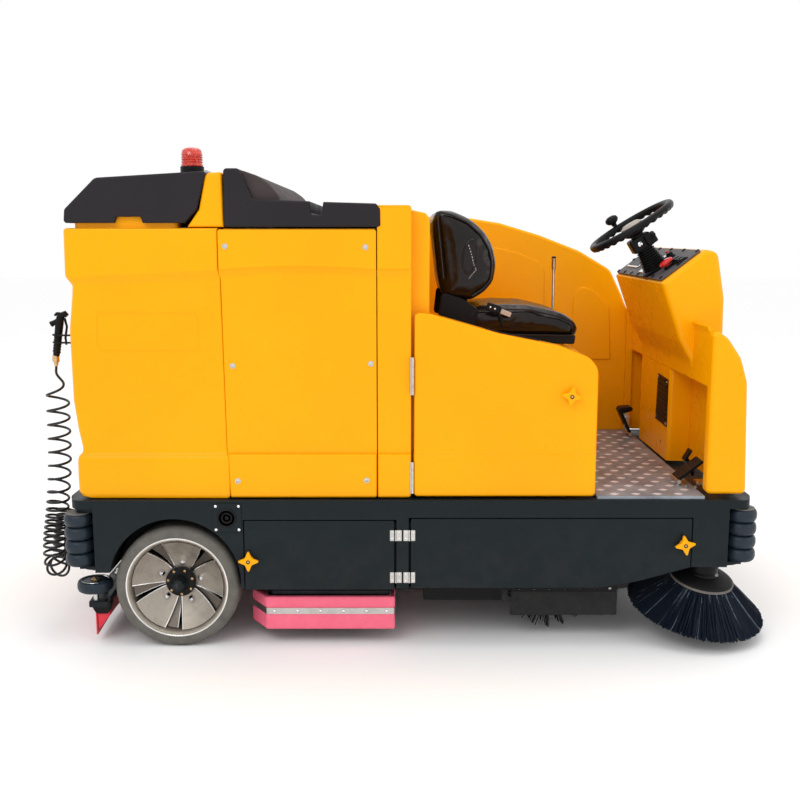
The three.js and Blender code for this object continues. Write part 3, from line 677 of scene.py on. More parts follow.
def hose_centreline():
    """From the tap round the coil's turns and up to the gun."""
    axis = catmull(HOSE_ROUTE, 60)
    steps_per_turn = 22
    side = Vector((-1, 0, 0))
    turns, travelled = 0.0, 0.0
    coil = []
    lead = 110.0               # the stretch from the gun over which the coil opens out
    for a, b in zip(axis, axis[1:]):
        way = (b - a).normalized()
        side = (side - way * side.dot(way)).normalized()
        pieces = max(1, math.ceil((b - a).length / pitch_at(travelled) * steps_per_turn))
        for k in range(pieces):
            here = a.lerp(b, k / pieces)
            angle = 2 * math.pi * turns
            grow = min(1.0, travelled / lead)
            spread = HELIX_RADIUS * (3 * grow ** 2 - 2 * grow ** 3)
            around = side * math.cos(angle) + way.cross(side) * math.sin(angle)
            coil.append(here + around * spread)
            gone = (b - a).length / pieces
            travelled += gone
            turns += gone / pitch_at(travelled)
    tap, last = Vector(HOSE_TAP), coil[-1]
    ahead = (coil[-1] - coil[-2]).normalized()
    reach = 0.5 * (tap - last).length
    inlet = []
    for k in range(20):
        t = k / 20
        a, b = tap + Vector((-reach, 0, 0)), last + ahead * reach
        inlet.append(tap * (1 - t) ** 3 + a * 3 * t * (1 - t) ** 2 + b * 3 * t * t * (1 - t) + last * t ** 3)
    return inlet + coil[::-1]


def make_hose():
    points = [p * MM for p in hose_centreline()]
    curve = bpy.data.curves.new("spray_hose_coil", "CURVE")
    curve.dimensions = "3D"
    curve.bevel_depth = HOSE_DIAMETER * MM / 2
    curve.bevel_resolution = 3
    curve.use_fill_caps = True
    spline = curve.splines.new("POLY")
    spline.points.add(len(points) - 1)
    for target, point in zip(spline.points, points):
        target.co = (*point, 1)
    spline.use_smooth = True
    hose = bpy.data.objects.new("spray_hose_coil", curve)
    curve.materials.append(rubber("hose_polyurethane", (0.012, 0.012, 0.013), 0.3, 0.06, 0.05))
    bpy.context.scene.collection.objects.link(hose)
    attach(hose, CHASSIS)
    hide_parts("spray_hose")
    return hose, sum((b - a).length for a, b in zip(points, points[1:]))


def make_gun():
    """The wash gun: grip, head with its nozzle prong, and trigger."""
    s = Shape(BLACK)
    foot, head = Vector((-1242, GUN_Y, 992)), Vector((-1220, GUN_Y, 1140))
    grip = [foot.lerp(head, t) for t in (0, 0.04, 0.2, 0.5, 0.8, 0.93, 1)]
    s.sweep(grip, [9, 11.5, 12.5, 13.5, 14.5, 13, 9], 18)
    for k in range(9):
        here = foot.lerp(head, 0.12 + 0.065 * k)
        s.sweep([here + Vector((-1, 0, -3)), here, here + Vector((1, 0, 3))], [13, 14.6, 13.2], 18)
    s.sweep([(-1222, GUN_Y, 1116), (-1232, GUN_Y, 1117), (-1243, GUN_Y, 1112), (-1254, GUN_Y, 1106)],
            [9, 10, 8.5, 10.5], 14)
    s.sweep([(-1222, GUN_Y, 1126), (-1214, GUN_Y, 1138), (-1204, GUN_Y, 1143), (-1196, GUN_Y, 1135)],
            [11, 12, 11, 8], 14)
    s.sweep([(-1222, GUN_Y, 1142), (-1232, GUN_Y, 1143), (-1240, GUN_Y, 1137)], [7, 6, 4], 10)
    s.sweep([(-1206, GUN_Y, 1128), (-1199, GUN_Y, 1098), (-1206, GUN_Y, 1060), (-1204, GUN_Y, 1034)],
            [4.5, 4, 4.2, 3.6], 10)
    piece("spray_gun_body", s, CHASSIS, ["spray_gun"])


def make_coupling():
    s = Shape(BRASS)
    turn = Matrix.Translation((-1244, GUN_Y, 0))
    s.lathe([(0, 962), (7, 962), (8, 966), (8, 971), (12, 973), (13, 978), (13, 992), (11, 997), (0, 997)],
            turn, 6)
    s.lathe([(0, 959), (6, 959), (6.5, 970), (0, 970)], turn, 18)
    return piece("hose_coupling", s, CHASSIS)


def make_gun_holder():
    s = Shape(BLACK)
    slab(s, [(-1140, 1026, 6), (-1104, 1026, 2), (-1104, 1090, 2), (-1140, 1090, 6)], GUN_Y - 44, GUN_Y + 28,
         edge=3)
    for z in (1044, 1070):
        hook = [(-1128, GUN_Y - 26, z), (-1200, GUN_Y - 27, z), (-1232, GUN_Y - 24, z),
                (-1245, GUN_Y - 12, z), (-1246, GUN_Y + 2, z)]
        s.sweep(catmull(hook, 5), 3.4, 10)
    s.use(STEEL)
    for y in (GUN_Y - 32, GUN_Y + 16):
        s.bolt((-1140, y, 1058), (-1, 0, 0), 6, 4)
    return piece("spray_gun_holder", s, CHASSIS, ["gun_holder"])


make_camera()
make_studio()
HOSE, HOSE_LENGTH = make_hose()
make_gun()
COUPLING = make_coupling()
make_gun_holder()


# ------------------------------------------------------------------ bodywork
CREASE_LOW, CREASE_HIGH = 1275, 1301      # the sloping step under the body's upper band
BAND_TOP = 682                            # top of the body's lower band
PANEL_FRONT = -112


def plan_ring(z_rear, z_front, rear, front, half, corner=24, front_corner=7):
    """A rounded rectangle in plan whose height changes from its rear to its front."""
    line = fillet([(front, -half, front_corner), (front, half, front_corner), (rear, half, corner),
                   (rear, -half, corner)])
    return [(p.x, p.y, z_rear + (z_front - z_rear) * (p.x - rear) / (front - rear)) for p in line]


def make_recovery_tank():
    """Proud lower band, recessed waist, sloping crease and proud collar, hollow inside."""
    s = Shape(YELLOW)
    levels = [
        (528, 528, -1086, -620, 610), (530, 529, -1106, -616, 616), (537, 533, -1121, -613, 619),
        (552, 540, -1130, -612, 620), (600, 600, -1131, -612, 620), (652, 652, -1130, -612, 620),
        (667, 667, -1128, -612, 620), (674, 674, -1125, -614, 617), (679, 679, -1119, -617, 611),
        (686, 686, -1116, -619, 607.5), (700, 700, -1115, -620, 606), (760, 760, -1126, -620.5, 606),
        (864, 864, -1138, -622, 606), (1101, 1101, -1139, -625, 606), (1217, 1217, -1125, -627, 606),
        (1246, 1270, -1123, -627, 606), (1251, 1275, -1124, -628, 607), (1274, 1297, -1138, -632, 618),
        (1279, 1302, -1140, -633, 620), (1290, 1310, -1141, -633, 620), (1428, 1428, -1139, -633, 620),
        (1434, 1434, -1137, -632, 618), (1437, 1437, -1132, -630, 613),
    ]
    rings = [plan_ring(*level) for level in levels]
    rings += [plan_ring(1437, 1437, -1074, -662, 562), plan_ring(1432, 1432, -1070, -664, 558),
              plan_ring(660, 660, -1062, -664, 558), plan_ring(642, 642, -1052, -674, 548)]
    s.loft(rings)
    lip = fillet([(-1106, -598, 20), (-764, -598, 20), (-764, 598, 20), (-1106, 598, 20)])
    s.ring(lip, inset(lip, 14), 1426, 1474, in_plan)
    outer = fillet([(-1043, 1033, 16), (-706, 1033, 16), (-706, 1159, 16), (-1043, 1159, 16)])
    s.ring(outer, inset(outer, 1.3), -605.6, -606.9)
    return piece("recovery_tank_shell", s, CHASSIS, ["recovery_tank"])


def crease_arch(low, rise, start, end):
    """The crease's gentle arch over the side panel, from its rear end to its front end."""
    parts = 14
    out = []
    for i in range(parts + 1):
        t = 2 * i / parts - 1
        out.append((start + (end - start) * i / parts, low + rise * (1 - t * t)))
    return out


def side_cladding(s, sign):
    """One side panel of the middle body: its lower band, its waist and its arched upper band."""
    waist = [(-611, 530, 8), (PANEL_FRONT, 530, 8), (PANEL_FRONT, 1433, 8), (-631, 1433, 8), (-631, 1296),
             (-626, 1268), (-619, 682), (-611, 664)]
    slab(s, waist, *side_rows(sign, 606, 588), edge=1.5)
    lower = [(-611, 530, 8), (PANEL_FRONT, 530, 8), (PANEL_FRONT, BAND_TOP), (-616, BAND_TOP)]
    slab(s, lower, *side_rows(sign, BODY_HALF, 600), edge=9, parts=4)
    rings = []
    for low, rise, depth, pull in ((CREASE_LOW, 13, 604, 0), (CREASE_HIGH, 11, 617, 0),
                                   (CREASE_HIGH, 11, 619.2, 1), (CREASE_HIGH, 11, BODY_HALF, 3.2)):
        rear = -629 if depth < 610 else -631
        line = fillet([*crease_arch(low, rise, rear, PANEL_FRONT), (PANEL_FRONT, 1433, 9), (-631, 1433, 9)])
        rings.append([(p.x, sign * depth, p.y) for p in (inset(line, pull) if pull else line)])
    s.loft(rings)


PANEL_SCREWS = ((-607, 1378), (-147, 1375), (-594, 982), (-131, 989), (-584, 590), (-147, 592))


def panel_screws(s, sign):
    s.use(STEEL)
    for x, z in PANEL_SCREWS:
        depth = BODY_HALF if not BAND_TOP < z < CREASE_LOW else 606
        place = (x, sign * (depth - 0.2), z)
        s.bolt(place, (0, sign, 0), 9.5, 2.2, "flat")
        s.bolt((x, sign * (depth + 1.6), z), (0, sign, 0), 6, 3.6)
    s.use(YELLOW)


def make_side_panel():
    s = Shape(YELLOW)
    side_cladding(s, -1)
    panel_screws(s, -1)
    return piece("side_panel_right_moulded", s, CHASSIS, ["side_panel_right"])


def make_centre_body():
    """The solution tank's walls, the left panel, the ridge, the pillars and the seat's partition."""
    s = Shape(YELLOW)
    side_cladding(s, 1)
    panel_screws(s, 1)
    outer = fillet([(-617, -590, 6), (PANEL_FRONT, -590, 6), (PANEL_FRONT, 592, 6), (-617, 592, 6)])
    rings = [[(p.x, p.y, z) for p in line] for line, z in ((outer, 530), (outer, 1436))]
    inner = fillet([(-592, -566, 6), (-138, -566, 6), (-138, 568, 6), (-592, 568, 6)])
    rings += [[(p.x, p.y, z) for p in inner] for z in (1436, 704)]
    s.loft(rings)
    slab(s, [(-730, 1440), (-690, 1497), (-668, 1604, 10), (-656, 1614, 8), (-612, 1617, 8), (-610, 1440)],
         -616, 616, edge=10)
    for sign in (-1, 1):
        base = [(-109, 530, 6), (4, 530, 10), (4, 1511, 12), (-109, 1511, 4)]
        slab(s, base, *side_rows(sign, 607, 560), edge=3)
        slab(s, [(-109, 530, 5), (4, 530, 10), (4, BAND_TOP), (-109, BAND_TOP)],
             *side_rows(sign, BODY_HALF, 600), edge=9, parts=4)
        rings = []
        for low, depth, pull in ((CREASE_LOW + 2, 605, 0), (CREASE_HIGH + 2, 616, 0),
                                 (CREASE_HIGH + 2, 618.8, 1.5), (CREASE_HIGH + 2, BODY_HALF, 5)):
            line = fillet([(-109, low), (4, low), (4, 1511, 12), (-109, 1511, 4)])
            rings.append([(p.x, sign * depth, p.y) for p in (inset(line, pull) if pull else line)])
        s.loft(rings)
    slab(s, [(-109, 530), (2, 530), (2, 1511, 10), (-109, 1511, 4)], -600, 600, edge=0)
    slab(s, [(-30, 530), (66, 530), (66, 1466, 10), (52, 1487, 10), (-30, 1504)], -562, 570, edge=8)
    return piece("centre_body_shell", s, CHASSIS, ["centre_tank"])


# ------------------------------------------------------------------ lids and beacon
BEACON_X = -828


def make_rear_lid():
    s = Shape(LID)
    outline = [(-1132, 1453, 10), (-1128, 1497, 16), (-1024, 1598, 26), (-672, 1619, 8), (-664, 1612, 6),
               (-696, 1496, 10), (-738, 1453, 6), (-874, 1453, 4), (-879, 1473, 8), (-960, 1473, 8),
               (-965, 1453, 4)]
    for sign in (-1, 1):
        slab(s, outline, *side_rows(sign, 622, 604), edge=7 if sign < 0 else 0,
             edge_hi=0 if sign < 0 else 7, parts=4)
    section = [(-1132, 1453, 10), (-1128, 1497, 16), (-1024, 1598, 26), (-672, 1619, 8), (-664, 1612, 6),
               (-696, 1496, 10), (-738, 1453), (-754, 1453), (-712, 1500, 8), (-684, 1603, 6),
               (-1018, 1584, 20), (-1115, 1492, 14), (-1118, 1453)]
    slab(s, section, -606, 606, edge=0)
    s.use(STEEL)
    for sign in (-1, 1):
        s.sweep([(-672, sign * 560, 1620), (-672, sign * 470, 1620)], 6, 14)
    s.use(BLACK)
    s.lathe([(0, 1600), (50, 1600), (50, 1616), (47, 1620), (47, 1626), (43, 1630), (43, 1644), (45, 1647),
             (45, 1672), (0, 1672)], Matrix.Translation((BEACON_X, 0, 0)), 48)
    s.use(BRIGHT)
    for k in range(6):
        turn = math.radians(-150 + 60 * k)
        way = (math.cos(turn), math.sin(turn), 0)
        s.bolt((BEACON_X + 47 * way[0], 47 * way[1], 1622), way, 2.4, 1.2, "flat")
    return piece("rear_lid_shell", s, "rear_lid", ["rear_lid"])


def make_beacon():
    s = Shape(LENS)
    profile = [(0, 1673), (41, 1673), (42, 1676), (42, 1680)]
    for k in range(4):
        z = 1681 + 9 * k
        profile += [(41.5, z), (38.5, z + 2), (38.5, z + 5), (41.2, z + 7)]
    profile += [(40, 1718), (37, 1732), (29, 1740), (14, 1743.6), (0, 1744)]
    s.lathe(profile, Matrix.Translation((BEACON_X, 0, 0)), 56)
    return piece("beacon_lens_ribbed", s, "rear_lid", ["beacon_lens"])


def make_centre_lid():
    s = Shape(LID)
    high = [(-608, 1440, 10), (-607, 1628, 12), (-556, 1628, 16), (-513, 1531, 14), (-327, 1523, 4),
            (-323, 1481, 8), (-288, 1479, 8), (-284, 1521, 4), (-112, 1516, 14), (-97, 1500, 14),
            (-96, 1440, 8)]
    for sign in (-1, 1):
        slab(s, high, *side_rows(sign, 624, 604), edge=8 if sign < 0 else 0, edge_hi=0 if sign < 0 else 8,
             parts=4)
    section = [*high, (-112, 1440), (-112, 1464), (-592, 1464), (-592, 1440)]
    slab(s, section, -606, 606, edge=0)
    s.use(DOME)
    hump = [(-600, 1500), (-600, 1622, 8), (-552, 1624, 60), (-500, 1606, 60), (-462, 1580, 60),
            (-432, 1545, 40), (-414, 1500)]
    slab(s, hump, -596, 596, edge=7, parts=3)
    return piece("centre_lid_shell", s, "centre_lid", ["centre_lid"])


# ------------------------------------------------------------------ cab
DOOR_OUTLINE = [(13, 534, 14), (632, 534, 14), (632, 975, 60), (600, 1012, 60), (498, 1052, 90),
                (298, 1092, 120), (70, 1157, 40), (40, 1161, 20), (14, 1158, 16)]


def make_cabin_door():
    """The cab's side door: proud lower band, flush upper face, rolled top edge with a slot."""
    s = Shape(YELLOW)
    slab(s, DOOR_OUTLINE, -612, -584, edge=4)
    upper = [(13, BAND_TOP - 14), (632, BAND_TOP - 14), *DOOR_OUTLINE[2:]]
    slab(s, upper, -616, -604, edge=9, parts=4)
    slab(s, [(13, 534, 14), (632, 534, 14), (632, BAND_TOP), (13, BAND_TOP)], -BODY_HALF, -600, edge=9,
         parts=4)
    # The slot is a black tube along the top edge: painted shade in the slot.
    s.use(BLACK)
    groove = [(248, 1108.5), (300, 1094.5), (370, 1080.5), (430, 1068.5)]
    s.sweep([(x, -606, z - 1.4) for x, z in groove], 2.6, 8)
    return piece("cabin_door_shell", s, "cabin_door", ["cabin_door"])


def hinge_leaf(s, x0, x1, z, tall, y):
    """A steel leaf with its two screws, standing on a side face."""
    s.use(STEEL)
    slab(s, [(x0, z - tall / 2, 2), (x1, z - tall / 2, 2), (x1, z + tall / 2, 2), (x0, z + tall / 2, 2)],
         min(y, y * 1.004), max(y, y * 1.004), edge=0.6, parts=2)
    s.use(BRIGHT)
    for dz in (-0.3, 0.3):
        s.bolt(((x0 + x1) / 2, y * 1.004, z + dz * tall), (0, math.copysign(1, y), 0), 3.2, 1.8)


def make_door_hinges():
    """The cab door's two steel piano hinges, in the gap beside the pillar."""
    s = Shape(STEEL)
    for z0, z1 in ((884, 1012), (545, 655)):
        slab(s, [(1, z0), (11, z0), (11, z1), (1, z1)], -619, -612, edge=1)
        knuckles = 4
        for k in range(knuckles):
            low = z0 + (z1 - z0) * k / knuckles + 1
            high = z0 + (z1 - z0) * (k + 1) / knuckles - 1
            s.lathe([(0, low), (5, low), (5, high), (0, high)], Matrix.Translation((8.5, -619, 0)), 16)
    return piece("cabin_door_hinges", s, CHASSIS)


def star_outline(reach, turn):
    corners = []
    for k in range(8):
        angle = math.radians(45 * k + turn)
        radius = reach if k % 2 == 0 else reach * 0.42
        corners.append((radius * math.cos(angle), radius * math.sin(angle), 3.6 if k % 2 == 0 else 9))
    return corners


def make_star_knob(name, x, z, reach, turn, body, y=-HALF_WIDTH):
    """A four-armed knob with a cap and a bolt, which locks a door."""
    s = Shape(YELLOW)
    s.at(Matrix.Translation((x, 0, z)))
    slab(s, star_outline(reach, turn), y - 24, y - 9, edge=4, step=20)
    s.lathe([(0, 0), (reach * 0.4, 0), (reach * 0.34, 11), (0, 11)],
            Matrix.Translation((0, y, 0)) @ Matrix.Rotation(math.radians(90), 4, "X"), 24)
    s.use(BLACK)
    s.bolt((0, y - 23.6, 0), (0, -1, 0), reach * 0.17, 1.6, "flat")
    s.use(BRASS)
    s.bolt((0, y - 24.6, 0), (0, -1, 0), reach * 0.09, 2)
    return piece(name, s, body, [body])


WALL_TOP = [(277, 1488, 80), (409, 1467, 90), (586, 1414, 90), (765, 1345, 90), (905, 1262, 60)]


def make_cabin_wall():
    s = Shape(YELLOW)
    outline = [(67, 529), (67, 1496, 18), *WALL_TOP, (960, 1150, 30), (978, 1106), (1004, 1056), (1004, 529)]
    slab(s, outline, 576, BODY_HALF - 4, edge=12, parts=4)
    big = [(80, 1000), (80, 1392, 30), (398, 1360, 90), (497, 1336, 90), (585, 1298, 40), (612, 1262, 30),
           (615, 1000)]
    slab(s, big, 571.5, 580, edge=5)
    small = [(742, 860), (742, 1130, 30), (762, 1178, 30), (788, 1187, 30), (832, 1172, 40), (905, 1105, 40),
             (918, 860)]
    slab(s, small, 571.5, 580, edge=5)
    slab(s, [(67, 529, 8), (1004, 529, 8), (1004, BAND_TOP), (67, BAND_TOP)], 600, BODY_HALF, edge=0,
         edge_hi=9)
    return piece("cabin_wall_left_moulded", s, CHASSIS, ["cabin_wall_left"])


def make_seat_base():
    s = Shape(YELLOW)
    outer = fillet([(68, -562, 6), (600, -562, 24), (600, 568, 24), (68, 568, 6)])
    rings = []
    for z, pull in ((529, 0), (1000, 0), (1007, 3), (1010, 10)):
        rings.append([(p.x, p.y, z) for p in (inset(outer, pull) if pull else outer)])
    s.loft(rings)
    slab(s, [(170, DRIVER_Y - 180, 20), (560, DRIVER_Y - 180, 20), (560, DRIVER_Y + 180, 20),
             (170, DRIVER_Y + 180, 20)], 1004, 1042, in_plan, edge=6)
    s.use(STEEL)
    for y in (DRIVER_Y - 150, DRIVER_Y + 150):
        slab(s, [(180, y - 12, 2), (590, y - 12, 2), (590, y + 12, 2), (180, y + 12, 2)], 1040, 1052,
             in_plan, edge=2)
    return piece("seat_base_moulded", s, CHASSIS, ["seat_base"])


LIFT_LEVER = (585, 130)


def make_lift_lever():
    s = Shape(CHROME)
    s.sweep([(*LIFT_LEVER, 1010), (*LIFT_LEVER, 1326)], 6, 18)
    at = Matrix.Translation((*LIFT_LEVER, 0))
    s.use(BLACK)
    s.lathe([(0, 1012), (18, 1012), (16, 1024), (9, 1040), (0, 1040)], at, 24)
    s.lathe([(6.5, 1322), (9, 1322), (9, 1327), (6, 1330), (0, 1330), (0, 1322)], at, 24)
    s.use(BRASS)
    s.lathe([(5, 1276), (8, 1276), (9.5, 1290), (9, 1322), (5, 1322)], at, 24)
    return piece("lift_lever_rod", s, "lift_lever", ["lift_lever"])


# ------------------------------------------------------------------ front cowl and console
FENDER = [(1009, 541, 18), (1009, 1108, 22), (1060, 1077, 70), (1107, 1008, 70), (1132, 925, 80),
          (1146, 541, 18)]


def make_front_cowl():
    """Console tower, full-width brow and dash wall, fenders, pedestal between the footwells."""
    s = Shape(YELLOW)
    tower = [(888, 1246, 6), (1040, 1364, 10), (1084, 1356, 30), (1113, 1195, 120), (1116, 1000),
             (1010, 905, 6), (1008, 960, 60), (962, 1040, 60)]
    slab(s, tower, -392, 392, edge=20, parts=5)
    dash = [(1009.3, 905, 6), (1009.3, 1088, 40), (994, 1124, 16), (1059.6, 1076.7, 70), (1106.5, 1008, 70),
            (1131.5, 925, 80), (1133, 905)]
    slab(s, dash, -575, 575, edge=0)
    for sign in (-1, 1):
        slab(s, FENDER, *side_rows(sign, BODY_HALF, 572), edge=15 if sign < 0 else 5,
             edge_hi=5 if sign < 0 else 15, parts=5)
    slab(s, [(1094, 541), (1094, 930), (1131, 925, 30), (1146, 556, 10), (1145, 541, 6)], -575, 575, edge=0)
    slab(s, [(1011, -92, 16), (1120, -92), (1120, 378), (1011, 378, 16)], 541, 960, in_plan, edge=0, step=8)
    s.box(984, 1012, 555, 571.4, 541, 1092)
    s.use(BLACK)
    slab(s, [(-78, 673, 2), (95, 677, 2), (77, 865, 2), (-77, 859, 2)], 1008, 1012, in_end_view, edge=1)
    for k in range(9):
        z = 700 + 18 * k
        s.sweep([(1007, -58, z), (1007, 62, z + 2)], 2.6, 8)
    s.use(BRIGHT)
    for y, z in ((-68, 685), (84, 689), (68, 854), (-66, 848)):
        s.bolt((1008, y, z), (-1, 0, 0), 5, 2.6)
    s.use(BLACK)
    s.bolt((1011, 3, 601), (-1, 0, 0), 5, 2)
    return piece("front_cowl_moulded", s, CHASSIS, ["front_cowl"])


STOP_BUTTON = (74, -280)       # on the console, along its slope and across


def make_console():
    """The console's grey plate with its screws, display, switches and lamps."""
    s = Shape(CONSOLE_GREY)
    s.at(CONSOLE)
    slab(s, [(7, -360, 10), (180, -360, 10), (180, 360, 10), (7, 360, 10)], -1, 7, in_plan, edge=2)
    s.use(BLACK)
    for x, y in [(16, v) for v in (-348, -232, -116, 0, 116, 232, 348)] \
            + [(172, v) for v in (-348, -174, 0, 174, 348)] + [(94, -350), (94, 350)]:
        s.lathe([(0, 5), (8.5, 5), (8.5, 9), (6, 11), (3, 11), (3, 8.5), (0, 8.5)],
                Matrix.Translation((x, y, 0)), 18)
    s.use(BRIGHT)
    slab(s, [(46, 120, 6), (150, 120, 6), (150, 300, 6), (46, 300, 6)], 6, 13, in_plan, edge=2)
    s.use(CHROME)
    slab(s, [(24, -60, 5), (70, -60, 5), (70, 20, 5), (24, 20, 5)], 6, 12, in_plan, edge=2)
    s.use(BLACK)
    slab(s, [(54, 130, 4), (142, 130, 4), (142, 290, 4), (54, 290, 4)], 12, 14.5, in_plan, edge=1)
    for k in range(3):
        x, y = 112, -330 + 46 * k
        slab(s, [(x - 22, y - 16, 3), (x + 22, y - 16, 3), (x + 22, y + 16, 3), (x - 22, y + 16, 3)], 6, 12,
             in_plan, edge=2)
        rocker = [(x - 17, 11), (x + 17, 11), (x + 17, 15), (x, 17), (x - 17, 28)]
        slab(s, rocker, y - 11, y + 11, edge=1.5)
    s.lathe([(0, 6), (17, 6), (17, 12), (13, 14), (13, 26), (9, 29), (0, 29)],
            Matrix.Translation((128, -140, 0)), 28)
    s.use(CHROME)
    s.lathe([(0, 6), (15, 6), (15, 11), (10, 13), (0, 13)], Matrix.Translation((128, -60, 0)), 28)
    s.use(BLACK)
    s.lathe([(12, 6.5), (19, 6.5), (19, 14), (17, 16), (12, 16)], Matrix.Translation((*STOP_BUTTON, 0)), 32)
    s.use(RED)
    s.lathe([(0, 6), (7, 6), (7, 14), (5, 17), (0, 18)], Matrix.Translation((150, -20, 0)), 20)
    return piece("console_plate", s, CHASSIS, ["console_panel"])


def make_emergency_stop():
    s = Shape(RED)
    s.at(CONSOLE)
    at = Matrix.Translation((*STOP_BUTTON, 0))
    s.lathe([(0, 14), (11, 14), (11, 22.4), (16, 23), (25, 24.5), (27, 28), (26, 33), (20, 37), (10, 39),
             (0, 39.5)], at, 40)
    return piece("emergency_stop_button", s, "emergency_stop", ["emergency_stop"])


# ------------------------------------------------------------------ steering
RING_RADIUS, GRIP = 157, 14.5


def make_steering_wheel():
    """Ring with finger grips below, padded hub and three spokes."""
    s = Shape(BLACK)
    s.at(STEER)
    around, across = 240, 20
    rings = []
    for i in range(around):
        turn = 2 * math.pi * i / around
        rings.append([])
        for k in range(across):
            roll = 2 * math.pi * k / across
            under = max(0.0, -math.sin(roll)) ** 1.5
            fat = GRIP + under * 2.6 * (math.cos(turn * 30) - 0.4)
            r = RING_RADIUS + fat * math.cos(roll)
            rings[-1].append((r * math.cos(turn), r * math.sin(turn), 20 + fat * math.sin(roll)))
    s.loft(rings, closed=True)
    s.lathe([(0, -20), (26, -20), (40, -12), (46, 0), (45, 9), (0, 9)], sides=40)
    for k in range(3):
        turn = math.radians(90 + 120 * k)
        way = Vector((math.cos(turn), math.sin(turn), 0))
        across_way = Vector((-way.y, way.x, 0))
        rings = []
        for r, wide, z in ((30, 20, 1), (70, 17, 4), (120, 15, 12), (163, 17, 19)):
            mid = way * r + Vector((0, 0, z))
            rings.append([mid + across_way * wide * a + Vector((0, 0, 5 * b)) for a, b in
                          ((-1, -0.2), (-0.7, -1), (0.7, -1), (1, -0.2), (1, 0.3), (0.7, 1), (-0.7, 1),
                           (-1, 0.3))])
        s.loft(rings)
    s.use(HUB_PAD)
    s.lathe([(0, 8), (42, 8), (43, 13), (41, 22), (30, 30), (0, 32)], sides=40)
    s.use(BRIGHT)
    s.lathe([(42.5, 8), (46.5, 8), (46.5, 12), (42.5, 12)], sides=40)
    return piece("steering_wheel_ring", s, "steering_wheel", ["steering_wheel"])


SPINNER_ANGLE = 1.72


def make_spinner():
    s = Shape(BLACK)
    at = Matrix.Translation((RING_RADIUS * math.cos(SPINNER_ANGLE), RING_RADIUS * math.sin(SPINNER_ANGLE), 0))
    s.at(STEER @ at)
    s.lathe([(0, 35.5), (10, 35.5), (9, 41), (12, 46), (20, 50), (24, 57), (24, 65), (20, 72),
             (12, 76.5), (0, 77.5)], sides=36)
    for k in range(12):
        turn = 2 * math.pi * k / 12
        s.sweep([(23 * math.cos(turn), 23 * math.sin(turn), 56),
                 (23.6 * math.cos(turn), 23.6 * math.sin(turn), 63),
                 (20 * math.cos(turn), 20 * math.sin(turn), 71)], 2.2, 6)
    return piece("spinner_knob_grip", s, "spinner_knob", ["spinner_knob"])


def make_steering_column():
    """Rubber bellows, switch box with its key, and collar under the wheel."""
    s = Shape(BLACK)
    s.at(STEER)
    profile = [(0, -168), (56, -168), (58, -162), (50, -157)]
    folds = 9
    for k in range(folds):
        z = -155 + 9 * k
        r = 47 - 1.7 * k
        profile += [(r - 5, z), (r, z + 2.6), (r, z + 5.4), (r - 5, z + 8)]
    profile += [(24, -74), (24, -22), (0, -22)]
    s.lathe(profile, sides=48)
    slab(s, [(-44, -34, 10), (40, -34, 10), (40, 30, 10), (-44, 30, 10)], -78, -26, in_plan, edge=7)
    slab(s, [(10, -48, 8), (52, -48, 8), (52, -20, 8), (10, -20, 8)], -74, -32, in_plan, edge=5)
    s.use(CHROME)
    s.lathe([(0, 0), (9, 0), (9, 5), (6, 7), (0, 7)],
            Matrix.Translation((-12, -33, -52)) @ Matrix.Rotation(math.radians(90), 4, "X"), 20)
    return piece("steering_column_boot", s, CHASSIS, ["steering_column"])


def make_drive_lever():
    s = Shape(CHROME)
    s.at(STEER)
    s.sweep(catmull([(30, -30, -56), (31, -62, -50), (31, -92, -42), (30, -100, -39)], 6), 4, 14)
    s.use(BLACK)
    s.sweep(catmull([(30, -94, -41), (30, -104, -38), (30, -116, -35)], 5), [6, 7, 7.6, 8, 8.4, 8.6, 8.8, 9,
                                                                           9, 8, 5], 16)
    return piece("drive_lever_stalk", s, "drive_lever", ["drive_lever"])


# ------------------------------------------------------------------ pedals and floor
def make_pedal(name, corners, y0, y1, body, pivot):
    """A ribbed treadle on its steel cross shaft."""
    s = Shape(BLACK)
    slab(s, corners, y0, y1, edge=2.5)
    (x0, z0), (x1, z1) = corners[0][:2], corners[1][:2]
    s.use(FLAP)
    for k in range(7):
        t = 0.12 + 0.12 * k
        x, z = x0 + (x1 - x0) * t, z0 + (z1 - z0) * t
        s.sweep([(x, y0 + 8, z), (x, y1 - 8, z)], 2.2, 8)
    s.use(STEEL)
    s.sweep([(pivot[0], y0 - 10, pivot[1]), (pivot[0], y1 + 10, pivot[1])], 7, 16)
    return piece(name, s, body, [body])


